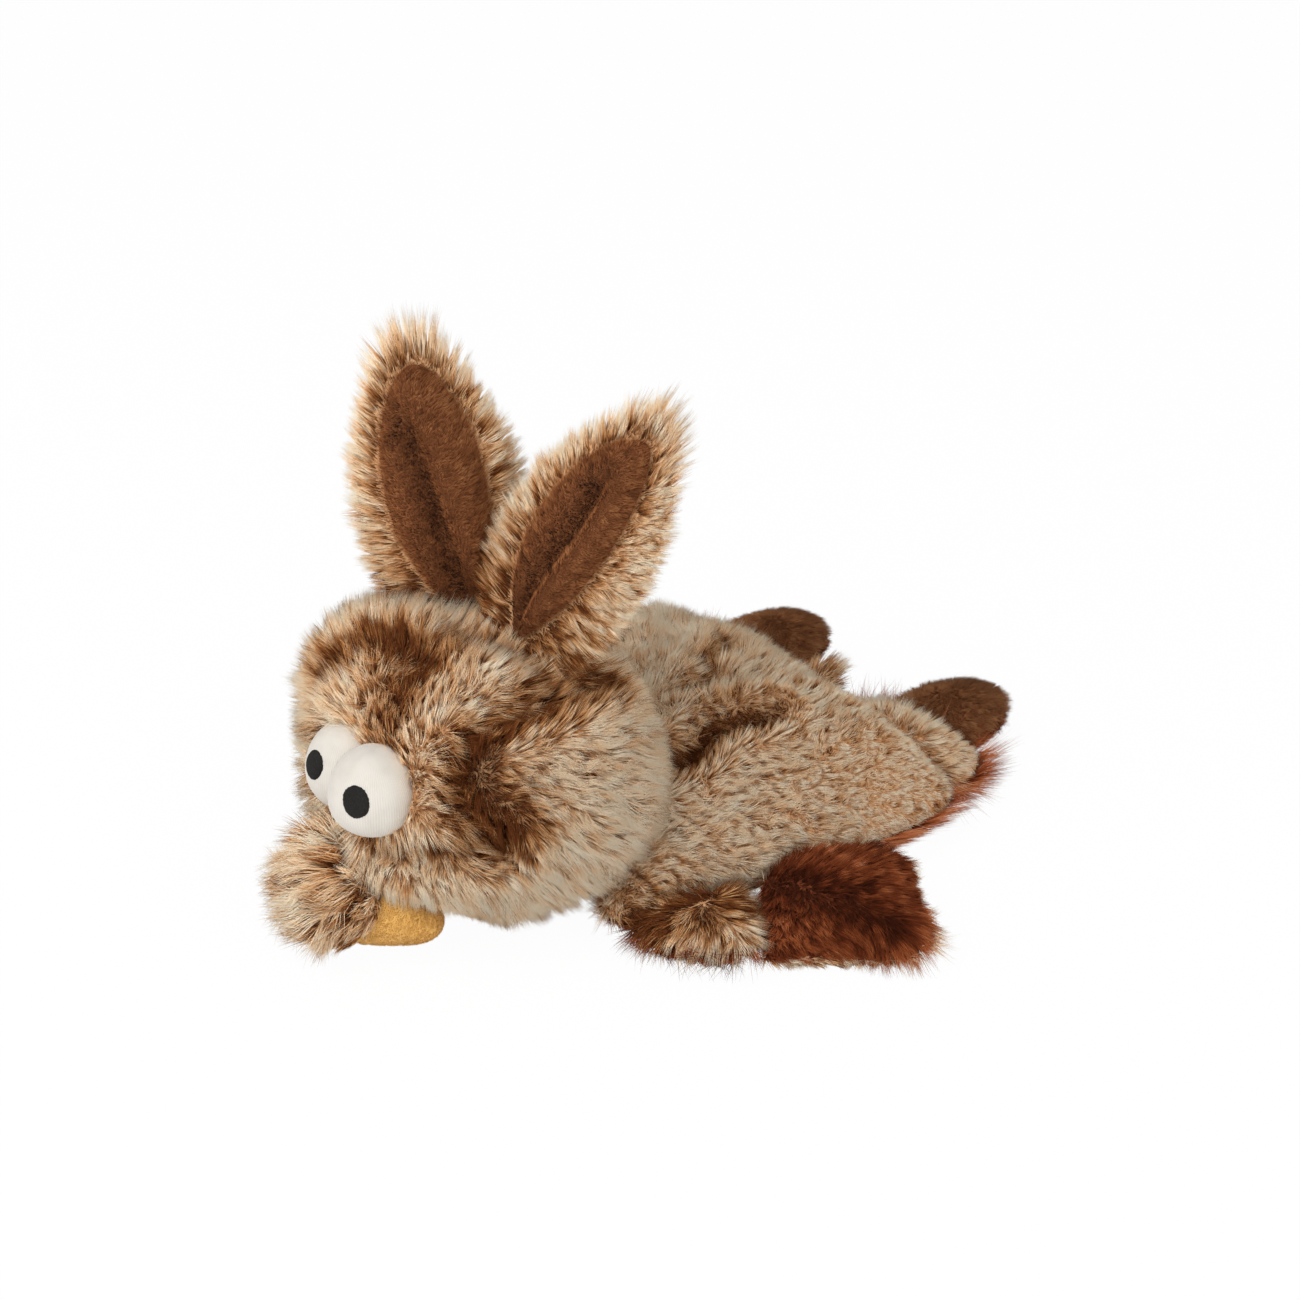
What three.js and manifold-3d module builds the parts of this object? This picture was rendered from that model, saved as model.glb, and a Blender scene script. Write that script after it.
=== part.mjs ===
// A plush hare that lies flat on its belly and carries treats in a pocket underneath.
// Millimetres, +Z up, the face toward -Y, the hare's own left side toward +X.
import * as THREE from 'three';
import { mergeVertices } from 'three/addons/utils/BufferGeometryUtils.js';
import Module from 'manifold-3d';

const wasm = await Module();
wasm.setup();

const degree = Math.PI / 180;

// Cloth, and the room left between pieces that touch
const plushThickness = 3;
const seatGap = 0.3;
const fillingGap = 0.8;

// Head: a stuffed ball with cheeks, jowls and a brow, held off the floor by its pile
const headRadius = 57;
const headLift = 7;
const headAside = -2;
const headBack = 6;
const headTurn = -16 * degree;
const cheekRadius = 47;
const cheekAside = 17;
const cheekBack = 18;
const cheekRise = 2;
const browRadius = 36;
const browAside = -23;
const browForward = 20;
const browRise = 26;
const jowlRadius = 30;
const jowlAside = 19;
const jowlForward = 29;
const jowlDrop = 6;
const foldSharpness = 22;
const middlePanelWidth = 50;
const squeakerRadius = 18;
const squeakerHeight = 14;

// Muzzle and chin, on the lower face
const muzzleRadius = 22;
const muzzlePlace = new THREE.Vector3(-13, -51, 30);
const chinPlace = new THREE.Vector3(-8, -37, 17);
const chinWidth = 60;
const chinDepth = 34;
const chinHeight = 25;

// Eyes: stuffed jersey balls, seen from the head's middle, and where each pupil looks
const eyeRadius = 17.5;
const eyePlaces = {
  left: {
    azimuth: 6 * degree, elevation: 13 * degree, reach: 59,
    lookAzimuth: 25 * degree, lookUp: 22 * degree,
  },
  right: {
    azimuth: -20 * degree, elevation: 14 * degree, reach: 53,
    lookAzimuth: -10 * degree, lookUp: 22 * degree,
  },
};
const pupilRadius = 5.8;
const pupilThickness = 1;

// Ears: a plush back and a short-pile lining with a fold down its length
const earLength = 118;
const earWidth = 60;
const earRootWidth = 36;
const earBackCrown = 5;
const earFrontCrown = 5;
const earFoldDepth = 3.2;
const earFoldWidth = 7;
const earLiningShare = 0.76;
const earLiningThickness = 1.6;
const earSeat = 10;
const earMiddleShare = 0.42;
const earLeaf = { lowWidth: 1.35, lowReach: 0.3, highWidth: 1.05, highReach: 0.8 };
const earPlaces = {
  left: {
    azimuth: 144 * degree, elevation: 73 * degree,
    way: new THREE.Vector3(50, 32, 101), facing: new THREE.Vector3(0.3, -0.82, 0.48),
    flop: [-20 * degree, 45 * degree],
  },
  right: {
    azimuth: -127 * degree, elevation: 67 * degree,
    way: new THREE.Vector3(-29, -1, 114), facing: new THREE.Vector3(0.62, -0.62, 0.48),
    flop: [-45 * degree, 15 * degree],
  },
};

// Body: a flat cushion of two panels, sewn together round its rim. The resting crown is how far
// a limb's lower half would hang below its seam, and it reaches the floor and lies flat there.
const bodyHalfWidth = 96;
const bodyRear = 188;
const rearCorner = 22;
const bodyMiddle = new THREE.Vector2(0, 134);
const bodyCrown = 40;
const bodyFullness = 3.5;
const bodyBelly = 52;
const rimHeight = 13;
const restingCrown = 14;
const neckHeight = 32;
const neckHalfWidth = 30;
const neckBack = 44;
const neckSpread = 36;
const neckRun = 66;
const neckBulge = new THREE.Vector2(42, 26);

// Pocket in the belly, with a flap that hook and loop strips hold shut
const pocketWidth = 80;
const pocketLength = 54;
const pocketFront = 96;
const pocketTop = 24;
const pouchWall = 1.5;
const pouchFlange = 6;
const stripLength = 11;
const stripThickness = 1;
const stripInset = 2;
const flapThickness = 1.7;

// Arms: each is an upper arm from the shoulder to a waist where the cloth can twist, and a hand.
// The left hand is twisted, so that its inner face is on top.
const shoulderFrontInset = 30;
const shoulderBackInset = 16;
const armHollowInset = 12;
const shoulderFront = new THREE.Vector2(bodyHalfWidth - shoulderFrontInset, 22);
const shoulderBack = new THREE.Vector2(bodyHalfWidth - shoulderBackInset, 72);
const armHollow = new THREE.Vector2(bodyHalfWidth - armHollowInset, 75);
const armWaistWidth = 36;
const armCrown = 11;
const handLength = 76;
const handWidth = 52;
const handOffset = 8;
const handCrown = 10;
const handCurve = { root: 0.15, widening: 0.3, widest: 0.55, rounding: 0.9, tipWidth: 0.7 };
const armPlaces = {
  left: {
    side: 1, waist: new THREE.Vector2(bodyHalfWidth + 4, 60), heading: 46 * degree,
    bulge: new THREE.Vector2(bodyHalfWidth + 3, 20), roll: 0.42, twisted: true,
  },
  right: {
    side: -1, waist: new THREE.Vector2(bodyHalfWidth + 7, 64), heading: 48 * degree,
    bulge: new THREE.Vector2(bodyHalfWidth + 5, 24), roll: 0, twisted: false,
  },
};

// Legs, with a sole on top of each turned-back foot
const legInner = 8;
const hipInset = 11;
const legOuter = bodyHalfWidth - hipInset;
const legSwell = 8;
const legLength = 34;
const legCrown = 13;
const legCurve = { side: 0.3, back: 0.2 };
const footWidth = 49;
const footCrown = 9;
const legPlaces = {
  left: { side: 1, footMiddle: 46.5, footLength: 47 },
  right: { side: -1, footMiddle: 52, footLength: 38 },
};

// Tail
const tailWidth = 13;
const tailLength = 25;
const tailRise = 0.55;
const tailCurve = { root: 0.33, swell: 0.8, tip: 0.3 };
const tailCrown = 6;

const plushColour = 0xc9a883;
const russetColour = 0x8a4a26;
const velboaColour = 0x5f3d24;
const jerseyColour = 0xe8e4de;
const pupilColour = 0x191817;
const chinColour = 0xcda05a;
const fillingColour = 0xf2f0ea;
const pouchColour = 0x4a4038;
const stripColour = 0x2c2a28;
const squeakerColour = 0xdadada;

const headMiddle = new THREE.Vector3(headAside, headBack, headRadius + headLift);
const toy = new THREE.Group();

function addPiece(name, geometry, colour, roughness = 0.95) {
  const material = new THREE.MeshStandardMaterial({ color: colour, roughness, metalness: 0 });
  const mesh = new THREE.Mesh(geometry, material);
  mesh.name = name;
  toy.add(mesh);
  return mesh;
}

function toSolid(geometry) {
  const bare = geometry.clone();
  bare.deleteAttribute('normal');
  bare.deleteAttribute('uv');
  const welded = mergeVertices(bare, 1e-4);
  return new wasm.Manifold(new wasm.Mesh({
    numProp: 3,
    vertProperties: new Float32Array(welded.attributes.position.array),
    triVerts: new Uint32Array(welded.index.array),
  }));
}

function toGeometry(solid) {
  const mesh = solid.getMesh();
  const geometry = new THREE.BufferGeometry();
  geometry.setAttribute('position', new THREE.BufferAttribute(mesh.vertProperties, 3));
  geometry.setIndex(new THREE.BufferAttribute(mesh.triVerts, 1));
  return geometry;
}

// A block given by its lowest and highest corners.
function block(low, high) {
  const size = high.map((value, axis) => value - low[axis]);
  const geometry = new THREE.BoxGeometry(...size);
  geometry.translate(...low.map((value, axis) => value + size[axis] / 2));
  return toSolid(geometry);
}

// Everything below a level, as wide as the toy.
function below(level) {
  const reach = 1000;
  return block([-reach, -reach, -reach], [reach, reach, level]);
}

// A closed cushion over an outline. Each ring is the outline drawn in toward its middle, and
// share is how far out the ring lies: 0 at the middle, 1 at the rim that both sides meet on.
function cushion({ outline, middle, rim, over, under, overRings = 4, underRings = 4 }) {
  const ring = THREE.ShapeUtils.isClockWise(outline) ? [...outline].reverse() : outline;
  const count = ring.length;
  const places = [];
  const faces = [];
  ring.forEach((point) => places.push(point.x, point.y, rim(point.x, point.y)));
  function addSide(rings, height, upward) {
    const addFace = (a, b, c) => faces.push(...(upward ? [a, b, c] : [a, c, b]));
    let outer = 0;
    for (let step = rings - 1; step > 0; step -= 1) {
      const share = step / rings;
      const inner = places.length / 3;
      ring.forEach((point) => {
        const x = middle.x + (point.x - middle.x) * share;
        const y = middle.y + (point.y - middle.y) * share;
        places.push(x, y, height(x, y, share));
      });
      for (let i = 0; i < count; i += 1) {
        const next = (i + 1) % count;
        addFace(outer + i, outer + next, inner + next);
        addFace(outer + i, inner + next, inner + i);
      }
      outer = inner;
    }
    const peak = places.length / 3;
    places.push(middle.x, middle.y, height(middle.x, middle.y, 0));
    for (let i = 0; i < count; i += 1) {
      addFace(outer + i, outer + ((i + 1) % count), peak);
    }
  }
  addSide(overRings, over, true);
  addSide(underRings, under, false);
  const geometry = new THREE.BufferGeometry();
  geometry.setAttribute('position', new THREE.Float32BufferAttribute(places, 3));
  geometry.setIndex(faces);
  return geometry;
}

// A limb panel with its wadding: the half of a cushion above its seam, or the half below.
function upperHalf(outline, middle, seam, crown) {
  const flat = (x, y) => seam(x, y) + seatGap / 2;
  const over = (x, y, share) => flat(x, y) + crown * (1 - share * share);
  return cushion({ outline, middle, rim: flat, over, under: flat, underRings: 1 });
}

function lowerHalf(outline, middle, seam) {
  const flat = (x, y) => seam(x, y) - seatGap / 2;
  const under = (x, y, share) => Math.max(0, flat(x, y) - restingCrown * (1 - share * share));
  return cushion({ outline, middle, rim: flat, over: flat, under, overRings: 1 });
}

// Head: how far its surface lies from its middle, as the smooth outside of its lobes
const headLobes = [
  { place: new THREE.Vector3(0, 0, 0), radius: headRadius },
  { place: new THREE.Vector3(cheekAside, cheekBack, cheekRise), radius: cheekRadius },
  { place: new THREE.Vector3(-cheekAside, cheekBack, cheekRise), radius: cheekRadius },
  { place: new THREE.Vector3(browAside, -browForward, browRise), radius: browRadius },
  { place: new THREE.Vector3(jowlAside, -jowlForward, -jowlDrop), radius: jowlRadius },
  { place: new THREE.Vector3(-jowlAside, -jowlForward, -jowlDrop), radius: jowlRadius },
];

function headReach(way) {
  let total = 0;
  headLobes.forEach((lobe) => {
    const along = way.dot(lobe.place);
    const root = lobe.radius ** 2 - lobe.place.lengthSq() + along ** 2;
    const reach = root > 0 ? along + Math.sqrt(root) : 0;
    total += Math.max(0, reach) ** foldSharpness;
  });
  return total ** (1 / foldSharpness);
}

function headForm(grow) {
  const ball = new THREE.SphereGeometry(1, 26, 16);
  ball.rotateX(Math.PI / 2);
  const places = ball.attributes.position;
  const way = new THREE.Vector3();
  for (let i = 0; i < places.count; i += 1) {
    way.fromBufferAttribute(places, i).normalize();
    way.multiplyScalar(headReach(way) + grow);
    places.setXYZ(i, way.x, way.y, way.z);
  }
  ball.rotateZ(headTurn);
  ball.translate(headMiddle.x, headMiddle.y, headMiddle.z);
  return ball;
}

const headCutter = toSolid(headForm(seatGap));
const floorCutter = below(0);

// A point seen from the head's middle: azimuth from the face toward the hare's left, then up.
function fromHead(azimuth, elevation, reach) {
  return new THREE.Vector3(
    Math.sin(azimuth) * Math.cos(elevation),
    -Math.cos(azimuth) * Math.cos(elevation),
    Math.sin(elevation),
  ).multiplyScalar(reach).add(headMiddle);
}

function turnedWithHead(solid) {
  return solid.rotate([0, 0, headTurn / degree]).translate([headMiddle.x, headMiddle.y, 0]);
}

function addHeadSkin() {
  const shell = toSolid(headForm(0)).subtract(floorCutter)
    .subtract(toSolid(headForm(-plushThickness)).subtract(below(plushThickness)));
  const reach = 200;
  const half = middlePanelWidth / 2;
  const middleSlab = turnedWithHead(block([-half, -reach, -1], [half, reach, reach]));
  const leftSlab = turnedWithHead(block([half + seatGap, -reach, -1], [reach, reach, reach]));
  const rightSlab = turnedWithHead(block([-reach, -reach, -1], [-half - seatGap, reach, reach]));
  addPiece('head_middle_panel', toGeometry(shell.intersect(middleSlab)), plushColour);
  addPiece('left_cheek_panel', toGeometry(shell.intersect(leftSlab)), plushColour);
  addPiece('right_cheek_panel', toGeometry(shell.intersect(rightSlab)), plushColour);
}

function cylinder(radius, bottom, top) {
  const geometry = new THREE.CylinderGeometry(radius, radius, top - bottom, 24);
  geometry.rotateX(Math.PI / 2);
  geometry.translate(headMiddle.x, headMiddle.y, (top + bottom) / 2);
  return geometry;
}

function addHeadFilling() {
  const inset = plushThickness + fillingGap;
  const squeakerTop = headMiddle.z + squeakerHeight / 2;
  const channel = toSolid(cylinder(squeakerRadius + seatGap, -1, squeakerTop + seatGap));
  const filling = toSolid(headForm(-inset)).subtract(below(inset)).subtract(channel);
  addPiece('head_filling', toGeometry(filling), fillingColour);
  const squeaker = cylinder(squeakerRadius, squeakerTop - squeakerHeight, squeakerTop);
  addPiece('squeaker', squeaker, squeakerColour, 0.4);
}

function muzzleForm(grow) {
  const ball = new THREE.SphereGeometry(muzzleRadius + grow, 16, 12);
  ball.translate(muzzlePlace.x, muzzlePlace.y, muzzlePlace.z);
  return toSolid(ball);
}

function addMuzzleAndChin() {
  const muzzle = muzzleForm(0).subtract(headCutter).subtract(floorCutter);
  addPiece('muzzle', toGeometry(muzzle), plushColour);
  const pad = new THREE.SphereGeometry(0.5, 18, 11);
  pad.scale(chinWidth, chinDepth, chinHeight);
  pad.translate(chinPlace.x, chinPlace.y, chinPlace.z);
  const chin = toSolid(pad).subtract(headCutter).subtract(muzzleForm(seatGap))
    .subtract(floorCutter);
  addPiece('chin', toGeometry(chin), chinColour);
}

function eyeBall(place, grow) {
  const ball = new THREE.SphereGeometry(eyeRadius + grow, 18, 12);
  const middle = fromHead(place.azimuth, place.elevation, place.reach);
  ball.translate(middle.x, middle.y, middle.z);
  return toSolid(ball);
}

// A round patch that follows the ball of the eye.
function addPupil(name, place) {
  const inner = eyeRadius + seatGap;
  const outer = inner + pupilThickness;
  const spread = Math.asin(pupilRadius / outer);
  const steps = 2;
  const profile = [];
  for (let i = 0; i <= steps; i += 1) {
    const angle = (spread * i) / steps;
    profile.push(new THREE.Vector2(inner * Math.sin(angle), inner * Math.cos(angle)));
  }
  for (let i = steps; i >= 0; i -= 1) {
    const angle = (spread * i) / steps;
    profile.push(new THREE.Vector2(outer * Math.sin(angle), outer * Math.cos(angle)));
  }
  profile[0].x = 0;
  profile[profile.length - 1].x = 0;
  const pupil = addPiece(name, new THREE.LatheGeometry(profile, 14), pupilColour, 0.9);
  const look = fromHead(place.lookAzimuth, place.lookUp, 1).sub(headMiddle);
  pupil.quaternion.setFromUnitVectors(new THREE.Vector3(0, 1, 0), look);
  pupil.position.copy(fromHead(place.azimuth, place.elevation, place.reach));
}

function addEyes() {
  const left = eyeBall(eyePlaces.left, 0).subtract(headCutter);
  const right = eyeBall(eyePlaces.right, 0).subtract(headCutter)
    .subtract(eyeBall(eyePlaces.left, seatGap));
  addPiece('left_eye', toGeometry(left), jerseyColour);
  addPiece('right_eye', toGeometry(right), jerseyColour);
  addPupil('left_pupil', eyePlaces.left);
  addPupil('right_pupil', eyePlaces.right);
}

// An ear lies along its own +Y, its lining toward its own +Z, and its root reaches into the head.
function earOutline() {
  const leaf = new THREE.Shape();
  const root = earRootWidth / 2;
  const half = earWidth / 2;
  leaf.moveTo(-root, -earSeat);
  leaf.lineTo(root, -earSeat);
  leaf.lineTo(root, 0);
  const low = { x: half * earLeaf.lowWidth, y: earLength * earLeaf.lowReach };
  const high = { x: half * earLeaf.highWidth, y: earLength * earLeaf.highReach };
  leaf.bezierCurveTo(low.x, low.y, high.x, high.y, 0, earLength);
  leaf.bezierCurveTo(-high.x, high.y, -low.x, low.y, -root, 0);
  leaf.closePath();
  return leaf.getSpacedPoints(28).slice(1);
}

// A solid cleared of the head at rest, at each end of its flop and halfway to each end, so that
// its root narrows to the line that it turns on.
function clearedForFlop(solid, pivot, axis, flop) {
  const angles = [0, ...flop, ...flop.map((end) => end / 2)];
  return angles.reduce((rest, angle) => {
    const turn = new THREE.Matrix4().makeTranslation(pivot)
      .multiply(new THREE.Matrix4().makeRotationAxis(axis, -angle))
      .multiply(new THREE.Matrix4().makeTranslation(pivot.clone().negate()));
    return rest.subtract(headCutter.transform(turn.elements));
  }, solid);
}

function addEar(side, place) {
  const outline = earOutline();
  const middle = new THREE.Vector2(0, earLength * earMiddleShare);
  const seam = () => 0;
  const fold = (x, share) => (
    earFoldDepth * Math.exp(-((x / earFoldWidth) ** 2)) * (1 - share ** 4)
  );
  const front = (x, y, share) => earFrontCrown * (1 - share * share) - fold(x, share);
  const back = cushion({
    outline, middle, rim: seam, over: front, overRings: 5, underRings: 3,
    under: (x, y, share) => -earBackCrown * (1 - share * share),
  });
  const liningUnder = (x, y, share) => front(x, y, share * earLiningShare) + seatGap;
  const lining = cushion({
    outline: outline.map((point) => middle.clone().lerp(point, earLiningShare)),
    middle,
    rim: (x, y) => liningUnder(x, y, 1),
    over: (x, y, share) => liningUnder(x, y, share) + earLiningThickness * Math.sqrt(1 - share ** 2),
    under: liningUnder,
  });
  const along = place.way.clone().normalize();
  const across = along.clone().cross(place.facing).normalize();
  const facing = across.clone().cross(along);
  const pose = new THREE.Matrix4().makeBasis(across, along, facing);
  const way = fromHead(place.azimuth, place.elevation, 1).sub(headMiddle);
  const turned = way.clone().applyAxisAngle(new THREE.Vector3(0, 0, 1), -headTurn);
  const pivot = fromHead(place.azimuth, place.elevation, headReach(turned) + seatGap / 2);
  const axis = way.clone().cross(facing).normalize();
  pose.setPosition(pivot);
  back.applyMatrix4(pose);
  lining.applyMatrix4(pose);
  const backSolid = clearedForFlop(toSolid(back), pivot, axis, place.flop);
  const liningSolid = clearedForFlop(toSolid(lining), pivot, axis, place.flop);
  addPiece(`${side}_ear_back`, toGeometry(backSolid), plushColour);
  addPiece(`${side}_ear_lining`, toGeometry(liningSolid), velboaColour);
}

// Body: its outline from above, the height of its seam, and its two panels
function bodyOutline() {
  const shape = new THREE.Shape();
  const trace = (side) => [
    [side * neckHalfWidth, neckBack],
    [side * shoulderFront.x, shoulderFront.y],
    [side * shoulderBack.x, shoulderBack.y],
    [side * bodyHalfWidth, bodyRear - rearCorner],
    [side * legOuter, bodyRear],
  ];
  const left = trace(1);
  const right = trace(-1).reverse();
  const sideSwell = (shoulderBack.y + bodyRear - rearCorner) / 2;
  shape.moveTo(...left[0]);
  shape.quadraticCurveTo(neckBulge.x, neckBulge.y, ...left[1]);
  shape.lineTo(...left[2]);
  shape.quadraticCurveTo(bodyHalfWidth, sideSwell, ...left[3]);
  shape.quadraticCurveTo(bodyHalfWidth, bodyRear, ...left[4]);
  shape.lineTo(...right[0]);
  shape.quadraticCurveTo(-bodyHalfWidth, bodyRear, ...right[1]);
  shape.quadraticCurveTo(-bodyHalfWidth, sideSwell, ...right[2]);
  shape.lineTo(...right[3]);
  shape.quadraticCurveTo(-neckBulge.x, neckBulge.y, ...right[4]);
  shape.closePath();
  return shape.getSpacedPoints(52).slice(1);
}

function bodySeam(x, y) {
  const along = THREE.MathUtils.clamp((neckBack + neckRun - y) / neckRun, 0, 1);
  return rimHeight + (neckHeight - rimHeight) * Math.exp(-((x / neckSpread) ** 2)) * along;
}

const pocketBack = pocketFront + pocketLength;
const pocketHalf = pocketWidth / 2;
const pouchBottom = plushThickness + seatGap;

// The pouch's outer space, with its flange, grown to leave room round it in the filling.
function pouchSpace(grow) {
  const wall = pouchWall + grow;
  const edge = pouchFlange + grow;
  const bag = block(
    [-pocketHalf - wall, pocketFront - wall, pouchBottom - grow],
    [pocketHalf + wall, pocketBack + wall, pocketTop + wall],
  );
  const flange = block(
    [-pocketHalf - edge, pocketFront - edge, pouchBottom - grow],
    [pocketHalf + edge, pocketBack + edge, pouchBottom + wall],
  );
  return bag.add(flange);
}

function addBody() {
  const layout = { outline: bodyOutline(), middle: bodyMiddle, overRings: 6, underRings: 6 };
  const seamAbove = (x, y) => bodySeam(x, y) + seatGap / 2;
  const seamBelow = (x, y) => bodySeam(x, y) - seatGap / 2;
  const top = (x, y, share) => seamAbove(x, y) + bodyCrown * (1 - share ** bodyFullness);
  const bottom = (x, y, share) => Math.max(0, seamBelow(x, y) - bodyBelly * (1 - share ** 2));
  const back = cushion({
    ...layout,
    rim: seamAbove,
    over: top,
    under: (x, y, share) => Math.max(seamAbove(x, y), top(x, y, share) - plushThickness),
  });
  const belly = cushion({
    ...layout,
    rim: seamBelow,
    over: (x, y, share) => Math.min(seamBelow(x, y), bottom(x, y, share) + plushThickness),
    under: bottom,
  });
  const inset = plushThickness + fillingGap;
  const filling = cushion({
    ...layout,
    rim: bodySeam,
    over: (x, y, share) => Math.max(bodySeam(x, y), top(x, y, share) - inset),
    under: (x, y, share) => Math.min(bodySeam(x, y), bottom(x, y, share) + inset),
  });
  const mouth = block([-pocketHalf, pocketFront, -1], [pocketHalf, pocketBack, pouchBottom]);
  addPiece('back_panel', toGeometry(toSolid(back).subtract(headCutter)), plushColour);
  const bellySolid = toSolid(belly).subtract(headCutter).subtract(mouth);
  addPiece('belly_panel', toGeometry(bellySolid), russetColour);
  const flangeEdge = pouchFlange + seatGap;
  const underFlange = block(
    [-pocketHalf - flangeEdge, pocketFront - flangeEdge, -1],
    [pocketHalf + flangeEdge, pocketBack + flangeEdge, pouchBottom],
  );
  const stuffed = toSolid(filling).subtract(headCutter).subtract(pouchSpace(seatGap))
    .subtract(underFlange);
  addPiece('body_filling', toGeometry(stuffed), fillingColour);
}

// Pocket, from the outside in: flap, hook strip, loop strip, then the shelf sewn in the pouch.
function addPocket() {
  const flapTop = seatGap + flapThickness;
  const hookBottom = flapTop + seatGap;
  const loopBottom = hookBottom + stripThickness + seatGap;
  const shelfBottom = loopBottom + stripThickness + seatGap;
  const stripFront = pocketBack - stripLength - seatGap;
  const space = block(
    [-pocketHalf, pocketFront, -1],
    [pocketHalf, pocketBack, pocketTop],
  );
  const shelf = block(
    [-pocketHalf - pouchWall / 2, stripFront - seatGap, shelfBottom],
    [pocketHalf + pouchWall / 2, pocketBack + pouchWall / 2, shelfBottom + pouchWall],
  );
  addPiece('treat_pouch', toGeometry(pouchSpace(0).subtract(space).add(shelf)), pouchColour);
  const flap = block(
    [-pocketHalf + seatGap, pocketFront + seatGap, seatGap],
    [pocketHalf - seatGap, pocketBack - seatGap, flapTop],
  );
  addPiece('pocket_flap', toGeometry(flap), russetColour);
  const addStrip = (name, bottom) => addPiece(name, toGeometry(block(
    [-pocketHalf + stripInset, stripFront, bottom],
    [pocketHalf - stripInset, stripFront + stripLength, bottom + stripThickness],
  )), stripColour);
  addStrip('hook_strip', hookBottom);
  addStrip('loop_strip', loopBottom);
}

// Arms lie on the floor, their outlines drawn from above on the left and mirrored for the right.
function mirrored(points, side) {
  return points.map((point) => new THREE.Vector2(point.x * side, point.y));
}

function middleOf(points) {
  const sum = points.reduce((total, point) => total.add(point), new THREE.Vector2());
  return sum.divideScalar(points.length);
}

function addArm(name, place) {
  const along = new THREE.Vector2(Math.cos(place.heading), Math.sin(place.heading));
  const aside = new THREE.Vector2(-along.y, along.x);
  const chord = shoulderBack.clone().sub(shoulderFront).normalize();
  const outward = new THREE.Vector2(chord.y, -chord.x).multiplyScalar(seatGap);
  const at = (forward, sideways) => (
    place.waist.clone().addScaledVector(along, forward).addScaledVector(aside, sideways)
  );
  const start = shoulderFront.clone().add(outward);
  const end = shoulderBack.clone().add(outward);
  const waistFront = at(0, -armWaistWidth / 2);
  const waistBack = at(0, armWaistWidth / 2);
  const arm = new THREE.Shape();
  arm.moveTo(start.x, start.y);
  arm.quadraticCurveTo(place.bulge.x, place.bulge.y, waistFront.x, waistFront.y);
  arm.lineTo(waistBack.x, waistBack.y);
  arm.quadraticCurveTo(armHollow.x, armHollow.y, end.x, end.y);
  arm.closePath();
  const armOutline = mirrored(arm.getSpacedPoints(26).slice(1), place.side);
  const level = () => rimHeight;
  const armMiddle = middleOf(armOutline);
  addPiece(`${name}_arm_outer`, upperHalf(armOutline, armMiddle, level, armCrown), plushColour);
  addPiece(`${name}_arm_inner`, lowerHalf(armOutline, armMiddle, level), russetColour);

  const corner = (share, sideways) => {
    const point = at(handLength * share, sideways + handOffset);
    return [point.x, point.y];
  };
  const { root, widening, widest, rounding, tipWidth } = handCurve;
  const wide = handWidth / 2;
  const handFront = at(seatGap, -armWaistWidth / 2);
  const handBack = at(seatGap, armWaistWidth / 2);
  const tip = corner(1, 0);
  const hand = new THREE.Shape();
  hand.moveTo(handFront.x, handFront.y);
  hand.bezierCurveTo(...corner(root, -wide), ...corner(widening, -wide), ...corner(widest, -wide));
  hand.bezierCurveTo(...corner(rounding, -wide), ...corner(1, -wide * tipWidth), ...tip);
  hand.bezierCurveTo(...corner(1, wide * tipWidth), ...corner(rounding, wide), ...corner(widest, wide));
  hand.bezierCurveTo(...corner(widening, wide), ...corner(root, wide), handBack.x, handBack.y);
  hand.closePath();
  const handOutline = mirrored(hand.getSpacedPoints(30).slice(1), place.side);
  const handMiddle = middleOf(handOutline);
  const slope = (x, y) => {
    const offset = new THREE.Vector2(x * place.side, y).sub(place.waist);
    return rimHeight + place.roll * offset.dot(aside);
  };
  const over = upperHalf(handOutline, handMiddle, slope, handCrown);
  const under = lowerHalf(handOutline, handMiddle, slope);
  addPiece(`${name}_hand_outer`, place.twisted ? under : over, plushColour);
  addPiece(`${name}_hand_inner`, place.twisted ? over : under, russetColour);
}

function addLeg(name, place) {
  const hip = bodyRear + seatGap;
  const ankle = bodyRear + legLength;
  const toe = place.footMiddle + footWidth / 2;
  const heel = place.footMiddle - footWidth / 2;
  const leg = new THREE.Shape();
  leg.moveTo(legInner, hip);
  leg.lineTo(legOuter, hip);
  const bulge = [legOuter + legSwell, hip + legLength * legCurve.side];
  leg.bezierCurveTo(...bulge, legOuter + legSwell / 2, ankle, toe, ankle);
  leg.lineTo(heel, ankle);
  leg.quadraticCurveTo(legInner, ankle - legLength * legCurve.back, legInner, hip);
  const legOutline = mirrored(leg.getSpacedPoints(28).slice(1), place.side);
  const legMiddle = middleOf(legOutline);
  const level = () => rimHeight;
  addPiece(`${name}_leg_outer`, upperHalf(legOutline, legMiddle, level, legCrown), plushColour);
  addPiece(`${name}_leg_inner`, lowerHalf(legOutline, legMiddle, level), russetColour);

  const foot = new THREE.Shape();
  const sole = ankle + seatGap;
  foot.absellipse(place.footMiddle, sole, footWidth / 2, place.footLength, 0, Math.PI, false, 0);
  foot.closePath();
  const footOutline = mirrored(foot.getSpacedPoints(22).slice(1), place.side);
  const footMiddle = middleOf(footOutline);
  addPiece(`${name}_sole`, upperHalf(footOutline, footMiddle, level, footCrown), velboaColour);
  addPiece(`${name}_foot_back`, lowerHalf(footOutline, footMiddle, level), russetColour);
}

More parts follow.
